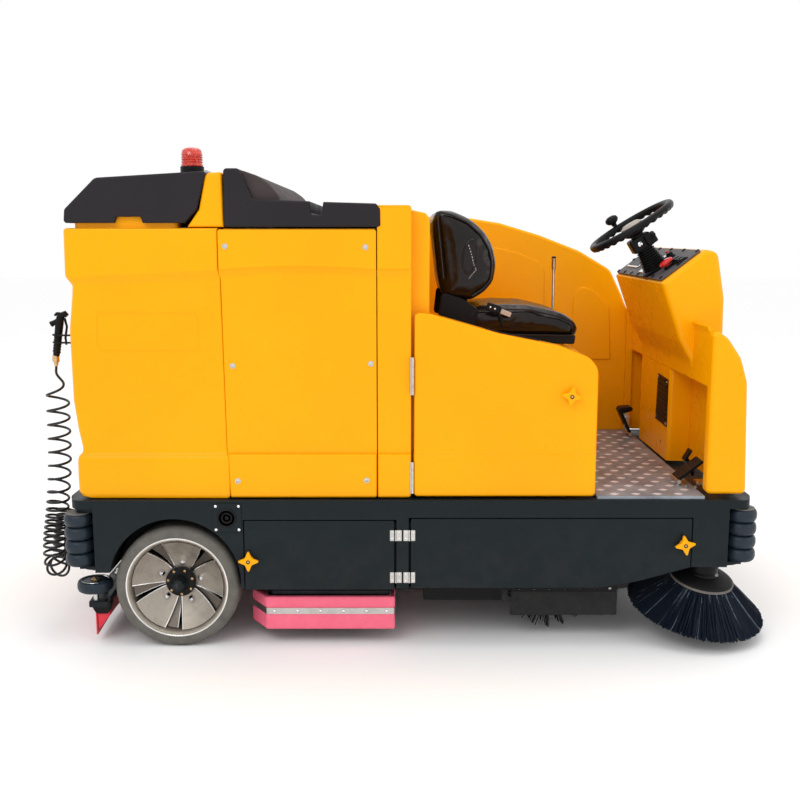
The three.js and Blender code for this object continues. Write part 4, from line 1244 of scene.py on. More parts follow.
def make_pedals():
    treadle = [(952, 561, 4), (1038, 627, 4), (1043, 618, 3), (958, 550, 3)]
    make_pedal("accelerator_treadle", treadle, -470, -390, "accelerator_pedal", (955, 551))
    treadle = [(974, 556, 3), (926, 657, 4), (937, 662, 4), (984, 560, 3)]
    make_pedal("brake_treadle", treadle, 395, 465, "brake_pedal", (978, 551))
    s = Shape(BLACK)
    slab(s, [(922, 648, 8), (932, 668, 8), (984, 672, 8), (990, 656, 8), (950, 642, 8)], 396, 464, edge=5)
    s.use(STEEL)
    slab(s, [(962, 560, 5), (984, 560, 5), (966, 650, 5), (946, 644, 5)], 422, 438, edge=2)
    s.bolt((966, 421, 622), (0, -1, 0), 9, 8, "hex")
    piece("brake_pad", s, "brake_pedal")
    s = Shape(BLACK)
    slab(s, [(1000, 604, 4), (1024, 646, 4), (1031, 640, 4), (1008, 600, 4)], -372, -332, edge=2)
    s.sweep([(1012, -352, 612), (1034, -352, 578), (1040, -352, 545)], 6, 10)
    s.use(BRASS)
    slab(s, [(1014, -492, 2), (1052, -492, 2), (1052, -452, 2), (1014, -452, 2)], 540, 556, in_plan, edge=2)
    s.use(STEEL)
    for x, y in ((948, -486), (975, -500), (1004, -510)):
        s.bolt((x, y, 539.5), (0, 0, 1), 5, 6, "hex")
    return piece("pedal_fittings", s, CHASSIS)


def make_floor_plate():
    """Tread plate: raised lens-shaped bars in staggered rows on a thin worn plate."""
    s = Shape(TREAD)
    plan = [(602.5, -578, 1), (637, -578, 1), (637, -628, 3), (1003, -628, 1), (1003, 571, 1),
            (602.5, 571, 1)]
    slab(s, plan, 527.3, 538, in_plan, edge=0.8, parts=2)
    pitch_x, pitch_y = 73, 58
    rows = 20
    for row in range(rows):
        y = -600 + row * pitch_y
        for col in range(6):
            x = 628 + pitch_x * (col + 0.5 * (row % 2))
            if x > 985 or (y < -560 and x < 660):
                continue
            bar = []
            for k in range(16):
                turn = 2 * math.pi * k / 16
                across, along = math.cos(turn), math.sin(turn)
                bar.append((x + 21 * across * abs(across) ** 0.7, y + 19 * along * abs(along) ** 0.7))
            top = [(x + (px - x) * 0.72, y + (py - y) * 0.68, 539.9) for px, py in bar]
            s.loft([[(px, py, 537.5) for px, py in bar], top])
    return piece("tread_plate_floor", s, CHASSIS, ["floor_plate"])


# ------------------------------------------------------------------ seat
def inflate(obj, voxel, cap, pressure=4.0):
    """Puffs a pad by a short cloth run, and keeps every point within a cap of where it was."""
    scene = bpy.context.scene
    bpy.context.view_layer.objects.active = obj
    mesher = obj.modifiers.new("voxels", "REMESH")
    mesher.mode = "VOXEL"
    mesher.voxel_size = voxel * MM
    bpy.ops.object.modifier_apply(modifier=mesher.name)
    before = [v.co.copy() for v in obj.data.vertices]
    cloth = obj.modifiers.new("fabric", "CLOTH")
    cloth.settings.use_pressure = True
    cloth.settings.uniform_pressure_force = pressure
    cloth.settings.effector_weights.gravity = 0
    cloth.settings.quality = 5
    for frame_number in range(1, 15):
        scene.frame_set(frame_number)
    bpy.ops.object.modifier_apply(modifier=cloth.name)
    for v, old in zip(obj.data.vertices, before):
        away = v.co - old
        if away.length > cap * MM:
            v.co = old + away.normalized() * cap * MM
    scene.frame_set(1)


def pad_object(name, shape, body, node, cap):
    """A padded piece: its shape, puffed by cloth, smoothed and fixed to its body."""
    mesh = bpy.data.meshes.new(name)
    mesh.from_pydata([p * MM for p in shape.points], [], shape.faces)
    mesh.materials.append(VINYL)
    fix_normals(mesh)
    obj = bpy.data.objects.new(name, mesh)
    bpy.context.scene.collection.objects.link(obj)
    inflate(obj, 7, cap)
    obj.modifiers.new("smooth", "SMOOTH").iterations = 3
    fine = obj.modifiers.new("fine", "SUBSURF")
    fine.levels = fine.render_levels = 1
    for polygon in obj.data.polygons:
        polygon.use_smooth = True
    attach(obj, body)
    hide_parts(node)
    return obj


CUSHION_SIDE = [(206, 1058, 20), (560, 1052, 30), (590, 1054, 26), (602, 1088, 24), (588, 1116, 30),
                (532, 1138, 60), (426, 1162, 90), (319, 1165, 60), (214, 1158, 30)]
BACK_SIDE = [(124, 1186, 20), (220, 1186, 30), (266, 1216, 50), (298, 1252, 60), (304, 1320, 90),
             (292, 1370, 90), (260, 1424, 90), (210, 1468, 70), (149, 1496, 40), (109, 1505, 14),
             (84, 1499, 14), (90, 1425, 40), (108, 1262, 60)]
SEAT_RIGHT, SEAT_LEFT = DRIVER_Y - 236, DRIVER_Y + 236


def dished_slab(shape, corners, dish, edge, pull_axis):
    """A pad across the seat's width: thick side bolsters and a dished middle."""
    line = fillet(corners, 14)
    centre = sum(line, Vector((0, 0))) / len(line)
    rings = []
    parts = 24
    for i in range(parts + 1):
        t = 2 * i / parts - 1
        round_off = max(0.0, (abs(t) - 0.86) / 0.14)
        pull = edge * (1 - math.sqrt(max(0.0, 1 - round_off ** 2)))
        moved = inset(line, pull) if pull > 0.01 else line
        bolster = dish * (0.5 + 0.5 * math.cos(math.pi * min(1.0, abs(t) / 0.72)))
        ring = []
        for p in moved:
            ahead = max(0.0, (p - centre).dot(Vector(pull_axis)))
            scale = min(1.0, ahead / 30)
            ring.append(Vector(p) - Vector(pull_axis) * bolster * scale)
        y = DRIVER_Y + t * (SEAT_LEFT - SEAT_RIGHT) / 2
        rings.append([(p.x, y, p.y) for p in ring])
    return shape.loft(rings)


def outline_bead(s, corners, y, radius, pull, start=0, end=None):
    """Piping along part of a pad's outline."""
    line = inset(fillet(corners, 10), pull)[start:end]
    s.sweep([(p.x, y, p.y) for p in line], radius, 8)


def make_seat():
    cushion = dished_slab(Shape(VINYL), CUSHION_SIDE, 14, 26, (0, 1))
    pad_object("seat_cushion_pad", cushion, "seat", "seat_cushion", 6)
    back = dished_slab(Shape(VINYL), BACK_SIDE, 26, 30, (0.94, 0.34))
    pad_object("seat_back_pad", back, "seat_back", "seat_back", 6)
    s = Shape(VINYL)
    for y in (SEAT_RIGHT + 7, SEAT_LEFT - 7):
        outline_bead(s, CUSHION_SIDE, y, 3.4, 9, 8, None)
    piece("seat_cushion_piping", s, "seat")
    s = Shape(VINYL)
    for y in (SEAT_RIGHT + 8, SEAT_LEFT - 8):
        outline_bead(s, BACK_SIDE, y, 3.6, 12, 12, 60)
    for sign, y in ((-1, SEAT_RIGHT), (1, SEAT_LEFT)):
        oval = [(212 + 26 * math.cos(a) + 6 * math.sin(a), 1340 + 58 * math.sin(a))
                for a in (2 * math.pi * k / 28 for k in range(28))]
        s.sweep([(x, y + sign * 3.2, z) for x, z in oval], 5.2, 10, closed=True, flat=0.8)
    piece("seat_back_trim", s, "seat_back")
    s = Shape(THREAD)
    for y in (SEAT_RIGHT - 6.5, SEAT_LEFT + 6.5):
        path = catmull([(203, y, 1390), (216, y, 1350), (226, y, 1312), (234, y, 1294)], 8)
        stitch(s, path)
        stitch(s, catmull([(234, y, 1294), (220, y, 1278), (208, y, 1262)], 8))
    piece("seat_back_stitching", s, "seat_back")
    make_seat_hardware()


def stitch(s, path):
    """Short thread stitches laid end to end along a path."""
    for a, b in zip(path[::2], path[1::2]):
        s.sweep([a, a.lerp(b, 0.5), b], [0.5, 1.5, 0.5], 6)


def make_seat_hardware():
    """Seat shell, recliner, and the belt's buckle beside the cushion."""
    s = Shape(BLACK)
    slab(s, [(150, 1044, 8), (588, 1030, 8), (592, 1064, 8), (150, 1070, 8)], SEAT_RIGHT + 6, SEAT_LEFT - 6,
         edge=4)
    recliner = [(100, 1110, 16), (230, 1080, 16), (250, 1150, 20), (190, 1192, 20), (112, 1216, 16)]
    for y in (SEAT_RIGHT + 4, SEAT_LEFT - 24):
        slab(s, recliner, y, y + 20, edge=6)
    slab(s, [(268, 1152, 6), (318, 1140, 6), (326, 1166, 6), (276, 1182, 6)], SEAT_RIGHT - 24, SEAT_RIGHT - 3,
         edge=4)
    strap_y = SEAT_RIGHT - 14
    s.sweep(catmull([(330, strap_y, 1096), (322, strap_y, 1124), (312, strap_y, 1150)], 5), 7, 10)
    s.use(BELT)
    slab(s, [(318, 1142, 3), (354, 1128, 3), (360, 1144, 3), (324, 1158, 3)], SEAT_RIGHT - 20, SEAT_RIGHT - 7,
         edge=2)
    s.use(CHROME)
    for x, z in ((284, 1164), (300, 1158)):
        s.bolt((x, SEAT_RIGHT - 24, z), (0, -1, 0), 3.4, 2)
    return piece("seat_hardware", s, "seat")


# ------------------------------------------------------------------ chassis
ARCH_RADIUS, ARCH_MID = 226, (-805, 235)


def wheel_arch():
    first = math.degrees(math.asin(36 / ARCH_RADIUS))
    last = math.degrees(math.asin(20 / ARCH_RADIUS))
    return arc(*ARCH_MID, ARCH_RADIUS, 180 - first, -last, 44)


def make_chassis_side(side, sign):
    s = Shape(SLATE)
    rear_opening = [(-568, 458, 2), (-46, 458, 2), (-46, 215)] if sign < 0 else []
    outline = [(-1078, 271), *wheel_arch(), (-568, 215), *rear_opening, (-4, 215), (-4, 465, 2),
               (964, 465, 2), (964, 291), (1087, 290), (1087, 525), (-1078, 525)]
    slab(s, outline, *side_rows(sign, HALF_WIDTH, HALF_WIDTH - 14), edge=1.6, parts=2)
    if sign < 0:
        make_horn(s)
    return piece(f"chassis_side_{side}_plate", s, CHASSIS, [f"chassis_side_{side}"])


def make_horn(s):
    """The reversing horn in its square surround, with four screws."""
    slab(s, [(-668, 416, 8), (-572, 416, 8), (-572, 516, 8), (-668, 516, 8)], -644, -637, edge=2.5)
    at = Matrix.Translation((-622, -643, 466)) @ Matrix.Rotation(math.radians(90), 4, "X")
    s.use(BLACK)
    s.lathe([(0, 0), (33, 0), (33, 3), (30, 5), (27, 5), (26, 1), (20, 1), (18, 3.5), (15, 3.5), (13, 1),
             (7, 1), (5, 3), (0, 3.4)], at, 44)
    s.use(BRIGHT)
    for x, z in ((-659, 425), (-581, 425), (-581, 507), (-659, 507)):
        s.bolt((x, -643.6, z), (0, -1, 0), 5, 2.6)
    s.use(SLATE)


def corner_cap(s, end, sign):
    """The deck's corner over a bumper roller, the bracket below it, and the pocket's edge."""
    flip = -1 if end == "rear" else 1
    inner, outer = (1078, 1172) if end == "rear" else (1087, 1180)
    plan = [(flip * (inner - 30), sign * 639, 2), (flip * (outer - 26), sign * 636, 34),
            (flip * outer, sign * 560, 60), (flip * outer, sign * 420, 20),
            (flip * (inner - 30), sign * 420, 2)]
    slab(s, plan, 494, 525, in_plan, edge=4)
    foot, head = (287, 473) if end == "rear" else (303, 489)
    bracket = [(flip * (inner - 30), sign * 620, 2), (flip * (inner + 44), sign * 606, 30),
               (flip * (inner + 66), sign * 560, 20), (flip * (inner - 30), sign * 500, 2)]
    slab(s, bracket, foot - 16, foot - 3, in_plan, edge=3)


def make_chassis():
    for side, sign in SIDES:
        make_chassis_side(side, sign)
    dress("chassis_frame", SLATE, 1.5)
    s = Shape(SLATE)
    for end in ("rear", "front"):
        for _, sign in SIDES:
            corner_cap(s, end, sign)
    for sign in (-1, 1):
        slab(s, [(-1078, 519, 1), (1087, 519, 1), (1087, 526.5, 1), (-1078, 526.5, 1)],
             *side_rows(sign, HALF_WIDTH + 1, HALF_WIDTH - 22), edge=2)
    front_beam = [(1100, -560, 30), (1172, -540, 40), (1172, 540, 40), (1100, 560, 30)]
    slab(s, front_beam, 300, 500, in_plan, edge=12)
    rear_beam = [(-1100, -560, 30), (-1142, -480, 40), (-1142, 480, 40), (-1100, 560, 30)]
    slab(s, rear_beam, 250, 500, in_plan, edge=12)
    piece("chassis_corner_caps", s, CHASSIS)
    # Black liners in the wheel arches, a black frame behind the service doors' gaps and a black strip behind
    # the post between them: painted shade.
    s = Shape(PAINTED_SHADOW)
    for sign in (-1, 1):
        arch = wheel_arch()
        over = [(x + (x + 805) * 0.02, z + (z - 235) * 0.02) for x, z in arch]
        s.prism(arch + over[::-1], sign * 492, sign * 627)
        frame_out = fillet([(-574, 205), (660, 205), (795, 236), (968, 284), (968, 474), (-574, 474)])
        s.ring(frame_out, inset(frame_out, 28), sign * 616, sign * 622)
        s.prism([(-56, 215), (6, 215), (6, 470), (-56, 470)], sign * 616, sign * 622)
        s.prism([(-1034, 211), *[(x, z + 3) for x, z in arch], (-579, 211)], sign * 488, sign * 492)
    piece("painted_shade_wells_and_gaps", s, CHASSIS)


REAR_DOOR = [(-565, 211, 3), (-53.5, 211, 3), (-53.5, 455, 5), (-565, 455, 5)]
FRONT_DOOR = [(3.5, 217, 3), (654, 217, 3), (790, 242, 40), (961, 291, 3), (961, 462, 5), (3.5, 462, 5)]
HINGE_HEIGHTS = (255, 404)


def make_service_door(name, corners, sign, body, hinge_x, way):
    """A flat steel door with its two hinge leaves, which runs from its hinge the given way."""
    s = Shape(SLATE)
    slab(s, corners, *side_rows(sign, HALF_WIDTH, HALF_WIDTH - 10), edge=2.2)
    for z in HINGE_HEIGHTS:
        y = sign * HALF_WIDTH
        near, far = hinge_x + way * 5.6, hinge_x + way * 20
        hinge_leaf(s, min(near, far), max(near, far), z, 38, y)
    return piece(name, s, body, [body])


def make_door_posts():
    """The service doors' hinge barrels and their leaves on the post between the doors."""
    s = Shape(STEEL)
    for sign, hinges in ((-1, ((-48, 1), (-2, -1))), (1, ((-2, -1),))):
        for x, way in hinges:
            for z in HINGE_HEIGHTS:
                y = sign * HALF_WIDTH
                near, far = x + way * 3, x + way * 20
                hinge_leaf(s, min(near, far), max(near, far), z, 38, y)
                s.use(STEEL)
                for low in (z - 19, z - 6, z + 7):
                    s.lathe([(0, low), (3, low), (3, low + 12), (0, low + 12)],
                            Matrix.Translation((x, sign * (HALF_WIDTH + 1.8), 0)), 16)
    return piece("service_door_hinges", s, CHASSIS)


ROLLER_Y = 590


def make_roller(end, side, sign):
    """A bumper roller of four stacked rubber tyres, with its worn top."""
    s = Shape(ROLLER)
    x = -1140 if end == "rear" else 1145
    foot = 287 if end == "rear" else 303
    pitch = 46.5
    profile = [(9, foot)]
    for k in range(4):
        z = foot + k * pitch
        profile += [(35, z + 0.3), (41, z + 1.6), (46, z + 6), (49, z + 13), (50, z + 20), (50, z + 27),
                    (49, z + 34), (46, z + 41), (41, z + 45), (35, z + 46.2)]
    profile += [(9, foot + 186)]
    s.lathe(profile, Matrix.Translation((x, sign * ROLLER_Y, 0)), 56)
    s.use(DUSTY)
    s.lathe([(10, foot + 185), (42, foot + 185), (41, foot + 187.2), (10, foot + 187.2)],
            Matrix.Translation((x, sign * ROLLER_Y, 0)), 48)
    return piece(f"{end}_{side}_bumper_tyres", s, f"{end}_{side}_bumper_roller",
                 [f"{end}_{side}_bumper_roller"])


# ------------------------------------------------------------------ wheels
WINDOW_ANGLES = [math.radians(119 - 72 * k) for k in range(5)]


def make_rear_wheel(side, sign):
    """Solid tyre on a deep-dished alloy rim: five petals, five windows, cap, lug nuts."""
    body = f"rear_{side}_wheel"
    out = Matrix.Translation((WHEEL_X, sign * WHEEL_Y, WHEEL_RADIUS))
    out = out @ Matrix.Rotation(math.radians(90 if sign < 0 else -90), 4, "X")
    s = Shape(TYRE)
    s.lathe([(172, -60), (186, -64), (200, -64), (209, -58), (214, -46), (215, -30), (215, 30), (214, 46),
             (209, 58), (200, 64), (188, 66), (178, 65), (172, 62)], out, 96)
    piece(f"rear_{side}_tyre_solid", s, body, [f"rear_{side}_tyre"])
    s = Shape(ALLOY)
    s.lathe([(171.8, -58), (171.8, 63), (168, 63), (161, 55), (158, 40), (156, -58)], out, 96)
    s.use(BRIGHT)
    s.lathe([(170.6, 61), (171.6, 65.5), (174, 66.8), (176.4, 65.8), (177, 62), (171, 59)], out, 96)
    # Black disc behind the petals, seen through the windows: painted shadow.
    s.use(PAINTED_SHADOW)
    s.lathe([(0, -40), (157, -40), (157, -30), (70, -34), (0, -34)], out, 64)
    add_petals(s, out)
    s.use(BLACK)
    s.lathe([(0, -30), (52, -30), (52, 4), (48, 8), (30, 9), (28, 6), (0, 6)], out, 48)
    s.use(BRASS)
    for k in range(7):
        turn = 2 * math.pi * k / 7 + 0.3
        place = out @ Vector((43 * math.cos(turn), 43 * math.sin(turn), 7))
        s.bolt(place, out.to_3x3() @ Vector((0, 0, 1)), 5.6, 5)
    s.use(CHROME)
    for k in range(5):
        turn = WINDOW_ANGLES[k] - math.radians(36)
        place = out @ Vector((74 * math.cos(turn), 74 * math.sin(turn), -8))
        s.bolt(place, out.to_3x3() @ Vector((0, 0, 1)), 13, 20)
    return piece(f"rear_{side}_rim_alloy", s, body, [f"rear_{side}_rim"])


def dish_depth(r):
    """How far out the petals' face stands: deep at the hub, near the lip at the rim."""
    t = (r - 50) / (158 - 50)
    return -12 + 62 * t ** 1.7


def add_petals(s, out):
    half_turn = math.radians(36)
    rows, cols = 9, 14
    for centre in (a - half_turn for a in WINDOW_ANGLES):
        front, back = [], []
        for i in range(rows + 1):
            r = 50 + 108 * i / rows
            half = half_turn - math.radians(6.5 + 5 * i / rows)
            front.append([])
            back.append([])
            for k in range(cols + 1):
                t = 2 * k / cols - 1
                turn = centre + half * t
                bulge = 2.5 * (1 - t * t)
                point = (r * math.cos(turn), r * math.sin(turn))
                front[-1].append(out @ Vector((*point, dish_depth(r) + bulge)))
                back[-1].append(out @ Vector((*point, dish_depth(r) - 12)))
        s.use(ALLOY)
        add_plate(s, front, back)
        s.use(BRIGHT)
        for k in (0, cols):
            edge = [row[k] + out.to_3x3() @ Vector((0, 0, 0.3)) for row in front]
            s.sweep(edge, 2.3, 8)
        # The recessed web takes the darker copy of the rim alloy: painted shade in the window.
        s.use(SHADED_WEB)
        turn = centre + half_turn
        front, back = [], []
        for i in range(rows + 1):
            r = 50 + 106 * i / rows
            half = math.radians(6.5 + 5 * i / rows) * 0.6
            tilt = -math.radians(1.2 + 1.6 * i / rows)
            angles = [turn + tilt + k * half for k in (-1, 0, 1)]
            spots = [(r * math.cos(angle), r * math.sin(angle)) for angle in angles]
            front.append([out @ Vector((*spot, dish_depth(r) - 12)) for spot in spots])
            back.append([out @ Vector((*spot, dish_depth(r) - 22)) for spot in spots])
        add_plate(s, front, back)
        s.use(BRIGHT)
        s.sweep([row[2] + out.to_3x3() @ Vector((0, 0, 0.3)) for row in front], 1.8, 8)


def add_plate(s, front, back):
    """Closes two matching grids of points into one thick sheet."""
    rows, cols = len(front), len(front[0])
    points = [p for row in front for p in row] + [p for row in back for p in row]
    shift = rows * cols
    faces = []
    for i in range(rows - 1):
        for k in range(cols - 1):
            a, b, c, d = i * cols + k, i * cols + k + 1, (i + 1) * cols + k + 1, (i + 1) * cols + k
            faces += [(a, b, c, d), (d + shift, c + shift, b + shift, a + shift)]
    rim = [k for k in range(cols)] + [i * cols + cols - 1 for i in range(1, rows)]
    rim += [(rows - 1) * cols + k for k in range(cols - 2, -1, -1)]
    rim += [i * cols for i in range(rows - 2, 0, -1)]
    for a, b in zip(rim, rim[1:] + rim[:1]):
        faces.append((b, a, a + shift, b + shift))
    frame_was, s.frame = s.frame, Matrix.Identity(4)
    s.add(points, faces)
    s.frame = frame_was


def make_front_wheel():
    s = Shape(TYRE)
    out = Matrix.Translation((860, 0, 200)) @ Matrix.Rotation(math.radians(90), 4, "X")
    s.lathe([(120, -48), (170, -55), (186, -52), (196, -44), (200, -30), (200, 30), (196, 44), (186, 52),
             (170, 55), (120, 48)], out, 80)
    s.use(ALLOY)
    s.lathe([(20, -40), (60, -42), (80, -30), (121, -34), (121, 34), (80, 30), (60, 42), (20, 40)], out, 64)
    return piece("front_wheel_solid", s, "front_wheel", ["front_wheel"])


# ------------------------------------------------------------------ cleaning gear
def strands(s, feet, tips, thick, bend=0.0):
    """Tapered bristles from foot to tip points, with a slight bow."""
    for foot, tip in zip(feet, tips):
        way = tip - foot
        side = way.orthogonal().normalized()
        middle = foot.lerp(tip, 0.55) + side * way.length * random.uniform(-bend, bend)
        s.sweep([foot, middle, tip], [thick, thick * 0.95, thick * 0.75], 3)


BRUSH_AT, BRUSH_REACH = (1030, 475, 92), 241


def make_side_brush(side, sign):
    """A wide disc brush, tilted forward and outward, with a cone of stiff bristles."""
    at = Matrix.Translation((BRUSH_AT[0], sign * BRUSH_AT[1], BRUSH_AT[2]))
    at = at @ Matrix.Rotation(-sign * math.radians(11), 4, "X") @ Matrix.Rotation(math.radians(7), 4, "Y")
    body = f"side_brush_{side}"
    s = Shape(BRISTLE)
    feet, tips = [], []
    tufts, strands_each = 72, 34
    for tuft in range(tufts):
        for k in range(strands_each):
            turn = 2 * math.pi * (tuft + 0.7 * random.random()) / tufts
            outer = k % 3 > 0
            r = (101 if outer else 84) + random.uniform(-5, 5)
            reach = BRUSH_REACH - (random.uniform(0, 9) if outer else random.uniform(14, 40))
            lean = turn + random.uniform(-0.035, 0.035)
            feet.append(at @ Vector((r * math.cos(turn), r * math.sin(turn), 114)))
            tips.append(at @ Vector((reach * math.cos(lean), reach * math.sin(lean), random.uniform(0, 7))))
    strands(s, feet, tips, 2.3, 0.02)
    s.lathe([(60, 106), (96, 106), (222, 11), (225, 7), (219, 5), (92, 94), (60, 94)], at, 72)
    # A scatter of pale outer strands: painted glints on the bristles.
    s.use(PAINTED_GLINT)
    feet, tips = [], []
    for _ in range(150):
        turn = random.uniform(0, 2 * math.pi)
        r, reach = random.uniform(103, 107), BRUSH_REACH - random.uniform(1, 30)
        feet.append(at @ Vector((r * math.cos(turn), r * math.sin(turn), 114)))
        tips.append(at @ Vector((reach * math.cos(turn), reach * math.sin(turn), random.uniform(3, 9))))
    strands(s, feet, tips, 1.7, 0.01)
    piece(f"side_brush_{side}_bristles", s, body, [f"side_brush_{side}"])
    s = Shape(DISC)
    s.lathe([(0, 104), (100, 104), (109, 112), (111, 118), (107, 124), (95, 130), (76, 135), (58, 139.5),
             (0, 139.5)], at, 64)
    s.use(DUSTY)
    s.lathe([(104, 109), (112.5, 113), (113.5, 119), (106, 122)], at, 64)
    piece(f"side_brush_{side}_disc", s, body)
    s = Shape(BLACK)
    s.lathe([(0, 140.6), (54, 140.6), (53, 146), (49, 150), (49, 176), (44, 184), (0, 186)], at, 40)
    s.use(SLATE)
    s.at(at)
    slab(s, [(-150, -22, 8), (10, -22, 8), (10, 22, 8), (-150, 22, 8)], 163, 185, in_plan, edge=3)
    s.use(STEEL)
    for x, y, z in ((-90, 0, 185), (-64, 0, 185), (36, -30, 148)):
        s.bolt((x, y, z), (0, 0, 1), 7, 6, "hex")
    return piece(f"side_brush_arm_{side}_motor", s, f"side_brush_arm_{side}",
                 [f"side_brush_arm_{side}"])


SCRUB_BRUSH_X, SCRUB_BRUSH_Y = -304.5, 290
SCRUB_PLAN = [(-558, -522, 12), (-498, -612, 14), (-51, -612, 8), (-51, 612, 8), (-498, 612, 14),
              (-558, 522, 12)]


def make_scrub_skirt():
    """Pink splash skirt in two tiers, held by a steel band with screws."""
    s = Shape(SKIRT)
    line = fillet(SCRUB_PLAN, 12)
    inner = inset(line, 15)
    rings = []
    for z, pull in ((57, 4), (60, 1), (66, 0), (104, 0), (110, 3), (118, 5), (132, 5), (138, 2), (142, 0),
                    (168, 0), (173, 2), (175, 5)):
        rings.append([(p.x, p.y, z) for p in (inset(line, pull) if pull else line)])
    rings += [[(p.x, p.y, z) for p in inner] for z in (175, 57)]
    s.loft(rings, closed=True)
    s.use(STEEL)
    band_out, band_in = inset(line, 1.5), inset(line, 7)
    s.ring([(p.x, p.y) for p in band_out], [(p.x, p.y) for p in band_in], 112, 134, in_plan)
    s.use(CHROME)
    for x in (-470, -390, -310, -230, -150, -80):
        for sign in (-1, 1):
            s.bolt((x, sign * 610.4, 123), (0, sign, 0), 7, 5)
    return piece("scrub_skirt_moulded", s, "scrub_deck", ["scrub_skirt"])


def make_scrub_deck():
    s = Shape(SLATE)
    plate = [(x + (20 if x < -300 else -20), y * 0.967, r) for x, y, r in SCRUB_PLAN]
    slab(s, plate, 176, 192, in_plan, edge=3)
    for _, sign in SIDES:
        at = Matrix.Translation((SCRUB_BRUSH_X, sign * SCRUB_BRUSH_Y, 0))
        s.use(BLACK)
        s.lathe([(0, 190), (82, 190), (82, 204), (78, 208), (78, 296), (70, 308), (40, 320), (0, 321)],
                at, 48)
        s.use(STEEL)
        for k in range(6):
            turn = math.radians(60 * k)
            place = (SCRUB_BRUSH_X + 74 * math.cos(turn), sign * SCRUB_BRUSH_Y + 74 * math.sin(turn), 204)
            s.bolt(place, (0, 0, 1), 6, 6, "hex")
    piece("scrub_deck_plate", s, "scrub_deck", ["scrub_deck"])
    for side, sign in SIDES:
        s = Shape(DISC)
        at = Matrix.Translation((SCRUB_BRUSH_X, sign * SCRUB_BRUSH_Y, 0))
        s.lathe([(0, 128), (228, 112), (234, 106), (234, 118), (226, 124), (120, 140), (60, 150), (58, 174),
                 (0, 174)], at, 64)
        s.use(BROOM)
        feet, tips = [], []
        for i in range(700):
            turn, r = 2 * math.pi * i * 0.61803, 110 + 118 * math.sqrt((i + 0.5) / 700)
            foot = Vector((r * math.cos(turn), r * math.sin(turn), 116))
            feet.append(at @ foot)
            tips.append(at @ (foot + Vector((4 * math.cos(turn), 4 * math.sin(turn), -52))))
        strands(s, feet, tips, 2.2)
        piece(f"scrub_brush_{side}_disc", s, f"scrub_brush_{side}", [f"scrub_brush_{side}"])


BROOM_AXLE = (500, 0, 165)


def make_main_broom():
    """The sweeping roll: a core with rows of bristles in a slow spiral."""
    s = Shape(BROOM)
    at = Matrix.Translation(BROOM_AXLE) @ ALONG_Y
    s.lathe([(16, -508), (92, -508), (98, -500), (98, 500), (92, 508), (16, 508)], at, 40)
    feet, tips = [], []
    for row in range(16):
        for k in range(150):
            along = -500 + 1000 * k / 149
            turn = 2 * math.pi * row / 16 + along * 0.0016 + random.uniform(-0.05, 0.05)
            way = Vector((math.cos(turn), math.sin(turn), 0))
            feet.append(at @ (way * 68 + Vector((0, 0, along))))
            out = way * random.uniform(143, 147.5)
            tips.append(at @ (out + Vector((0, 0, along + random.uniform(-4, 4)))))
    strands(s, feet, tips, 2.6)
    return piece("main_broom_roll", s, "main_broom", ["main_broom"])


def make_flap():
    """Rubber flap beside the main broom, hung from a steel strip."""
    s = Shape(FLAP)
    slab(s, [(357, 90, 4), (730, 90, 4), (730, 200, 2), (357, 200, 2)], -566, -557, edge=2)
    s.use(BLACK)
    slab(s, [(357, 176, 3), (730, 176, 3), (730, 206, 3), (357, 206, 3)], -569, -554, edge=1.5)
    s.use(STEEL)
    for k in range(7):
        s.bolt((385 + 53 * k, -569, 191), (0, -1, 0), 6, 4)
    return piece("broom_flap_rubber", s, CHASSIS, ["broom_flap_right"])


def squeegee_line(front, rear, reach, sweep=10):
    return [(rear, -420, 120), (rear + sweep, -reach, 6), (front + sweep, -reach, 6), (front, -400, 120),
            (front, 400, 120), (front + sweep, reach, 6), (rear + sweep, reach, 6), (rear, 420, 120)]


GUIDE_X, GUIDE_Y = -1098, 578  # the guide wheels at the squeegee's ends


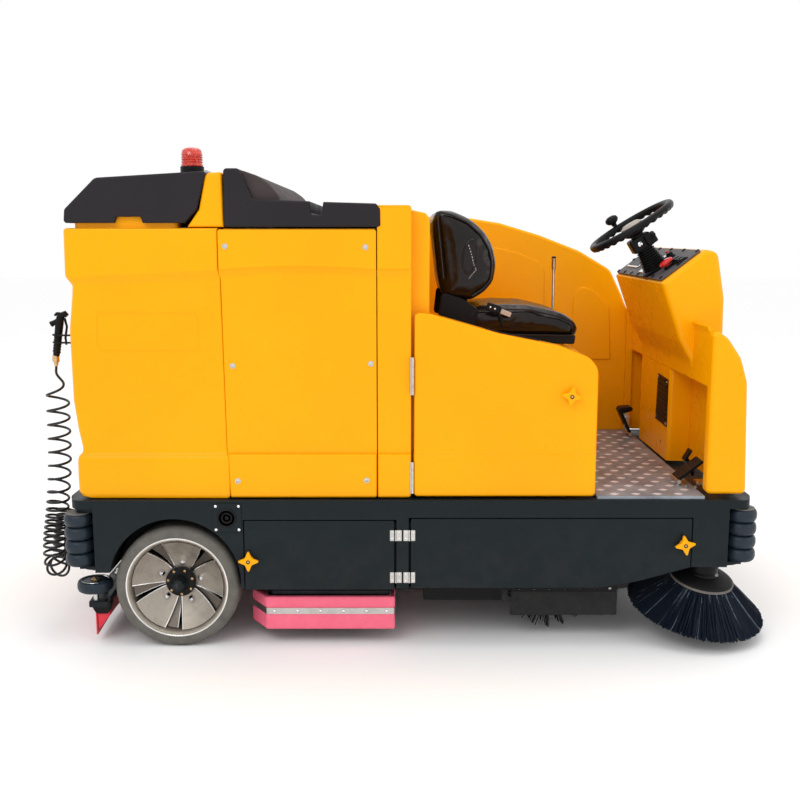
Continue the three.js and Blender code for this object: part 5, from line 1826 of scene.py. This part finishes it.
def make_squeegee():
    s = Shape(SLATE)
    slab(s, squeegee_line(-1062, -1130, 596), 130, 152, in_plan, edge=4)
    slab(s, [(-1063, -240, 10), (-1022, -240, 10), (-1022, 240, 10), (-1063, 240, 10)], 141, 160,
         in_plan, edge=3)
    for sign in (-1, 1):
        hanger = [(-1060, sign * 200, 4), (-1030, sign * 200, 4), (-1030, sign * 230, 4),
                  (-1060, sign * 230, 4)]
        slab(s, hanger, 150, 236, in_plan, edge=3)
        s.use(BLACK)
        slab(s, [(-1122, 152, 8), (-1040, 152, 8), (-1052, 106, 14), (-1096, 106, 14)],
             *side_rows(sign, 594, 560), edge=4)
        s.use(STEEL)
        s.sweep([(GUIDE_X, sign * GUIDE_Y, 150), (GUIDE_X, sign * GUIDE_Y, 229)], 9, 16)
        for y in (120, 300, 480):
            s.lathe([(0, 152), (14, 152), (14, 158), (8, 160), (8, 172), (0, 172)],
                    Matrix.Translation((-1096, sign * y, 0)), 20)
        s.use(SLATE)
    piece("squeegee_body", s, "squeegee", ["squeegee_bar"])
    s = Shape(BLADE)
    slab(s, squeegee_line(-1104, -1110, 588), 28, 131, in_plan, edge=1)
    for sign in (-1, 1):
        wedge = [(-1092, 131, 4), (-1048, 131, 4), (-1052, 96, 10), (-1086, 52, 6), (-1092, 52, 4)]
        slab(s, wedge, *side_rows(sign, 588, 560), edge=2)
    piece("squeegee_blades", s, "squeegee", ["squeegee_blade"])
    for side, sign in SIDES:
        s = Shape(ROLLER)
        at = Matrix.Translation((GUIDE_X, sign * GUIDE_Y, 0))
        s.lathe([(11, 190), (52, 190), (58, 194), (61, 202), (61, 216), (58, 224), (54, 227.5), (46, 228),
                 (44, 225), (11, 225)], at, 56)
        s.use(BRIGHT)
        s.lathe([(44, 226), (46, 228.6), (48, 226)], at, 56)
        s.use(BRASS)
        s.bolt((GUIDE_X, sign * GUIDE_Y, 227), (0, 0, 1), 9, 8, "hex")
        piece(f"squeegee_wheel_{side}_tyre", s, f"squeegee_wheel_{side}",
              [f"squeegee_wheel_{side}"])


make_recovery_tank()
make_side_panel()
make_centre_body()
make_rear_lid()
make_beacon()
make_centre_lid()
make_cabin_door()
make_door_hinges()
make_star_knob("cabin_door_star", 540, 882, 40, 80, "cabin_door_knob", -BODY_HALF)
make_cabin_wall()
make_seat_base()
make_lift_lever()
make_front_cowl()
make_console()
make_emergency_stop()
make_steering_wheel()
make_spinner()
make_steering_column()
make_drive_lever()
make_pedals()
make_floor_plate()
make_seat()
make_chassis()
make_service_door("right_rear_door_panel", REAR_DOOR, -1, "right_rear_service_door", -48, -1)
make_service_door("right_front_door_panel", FRONT_DOOR, -1, "right_front_service_door", -2, 1)
make_service_door("left_door_panel", FRONT_DOOR, 1, "left_service_door", -2, 1)
make_door_posts()
make_star_knob("rear_door_star", -550, 317, 40, 90, "rear_door_knob")
make_star_knob("front_door_star", 936, 373, 40, 100, "front_door_knob")
for end in ("rear", "front"):
    for side, sign in SIDES:
        make_roller(end, side, sign)
for side, sign in SIDES:
    make_rear_wheel(side, sign)
    make_side_brush(side, sign)
make_front_wheel()
dress("front_fork", SLATE, 2)
make_scrub_skirt()
make_scrub_deck()
make_main_broom()
make_flap()
dress("dust_hopper", BLACK, 3)
dress("battery_pack", BLACK, 6)
make_squeegee()
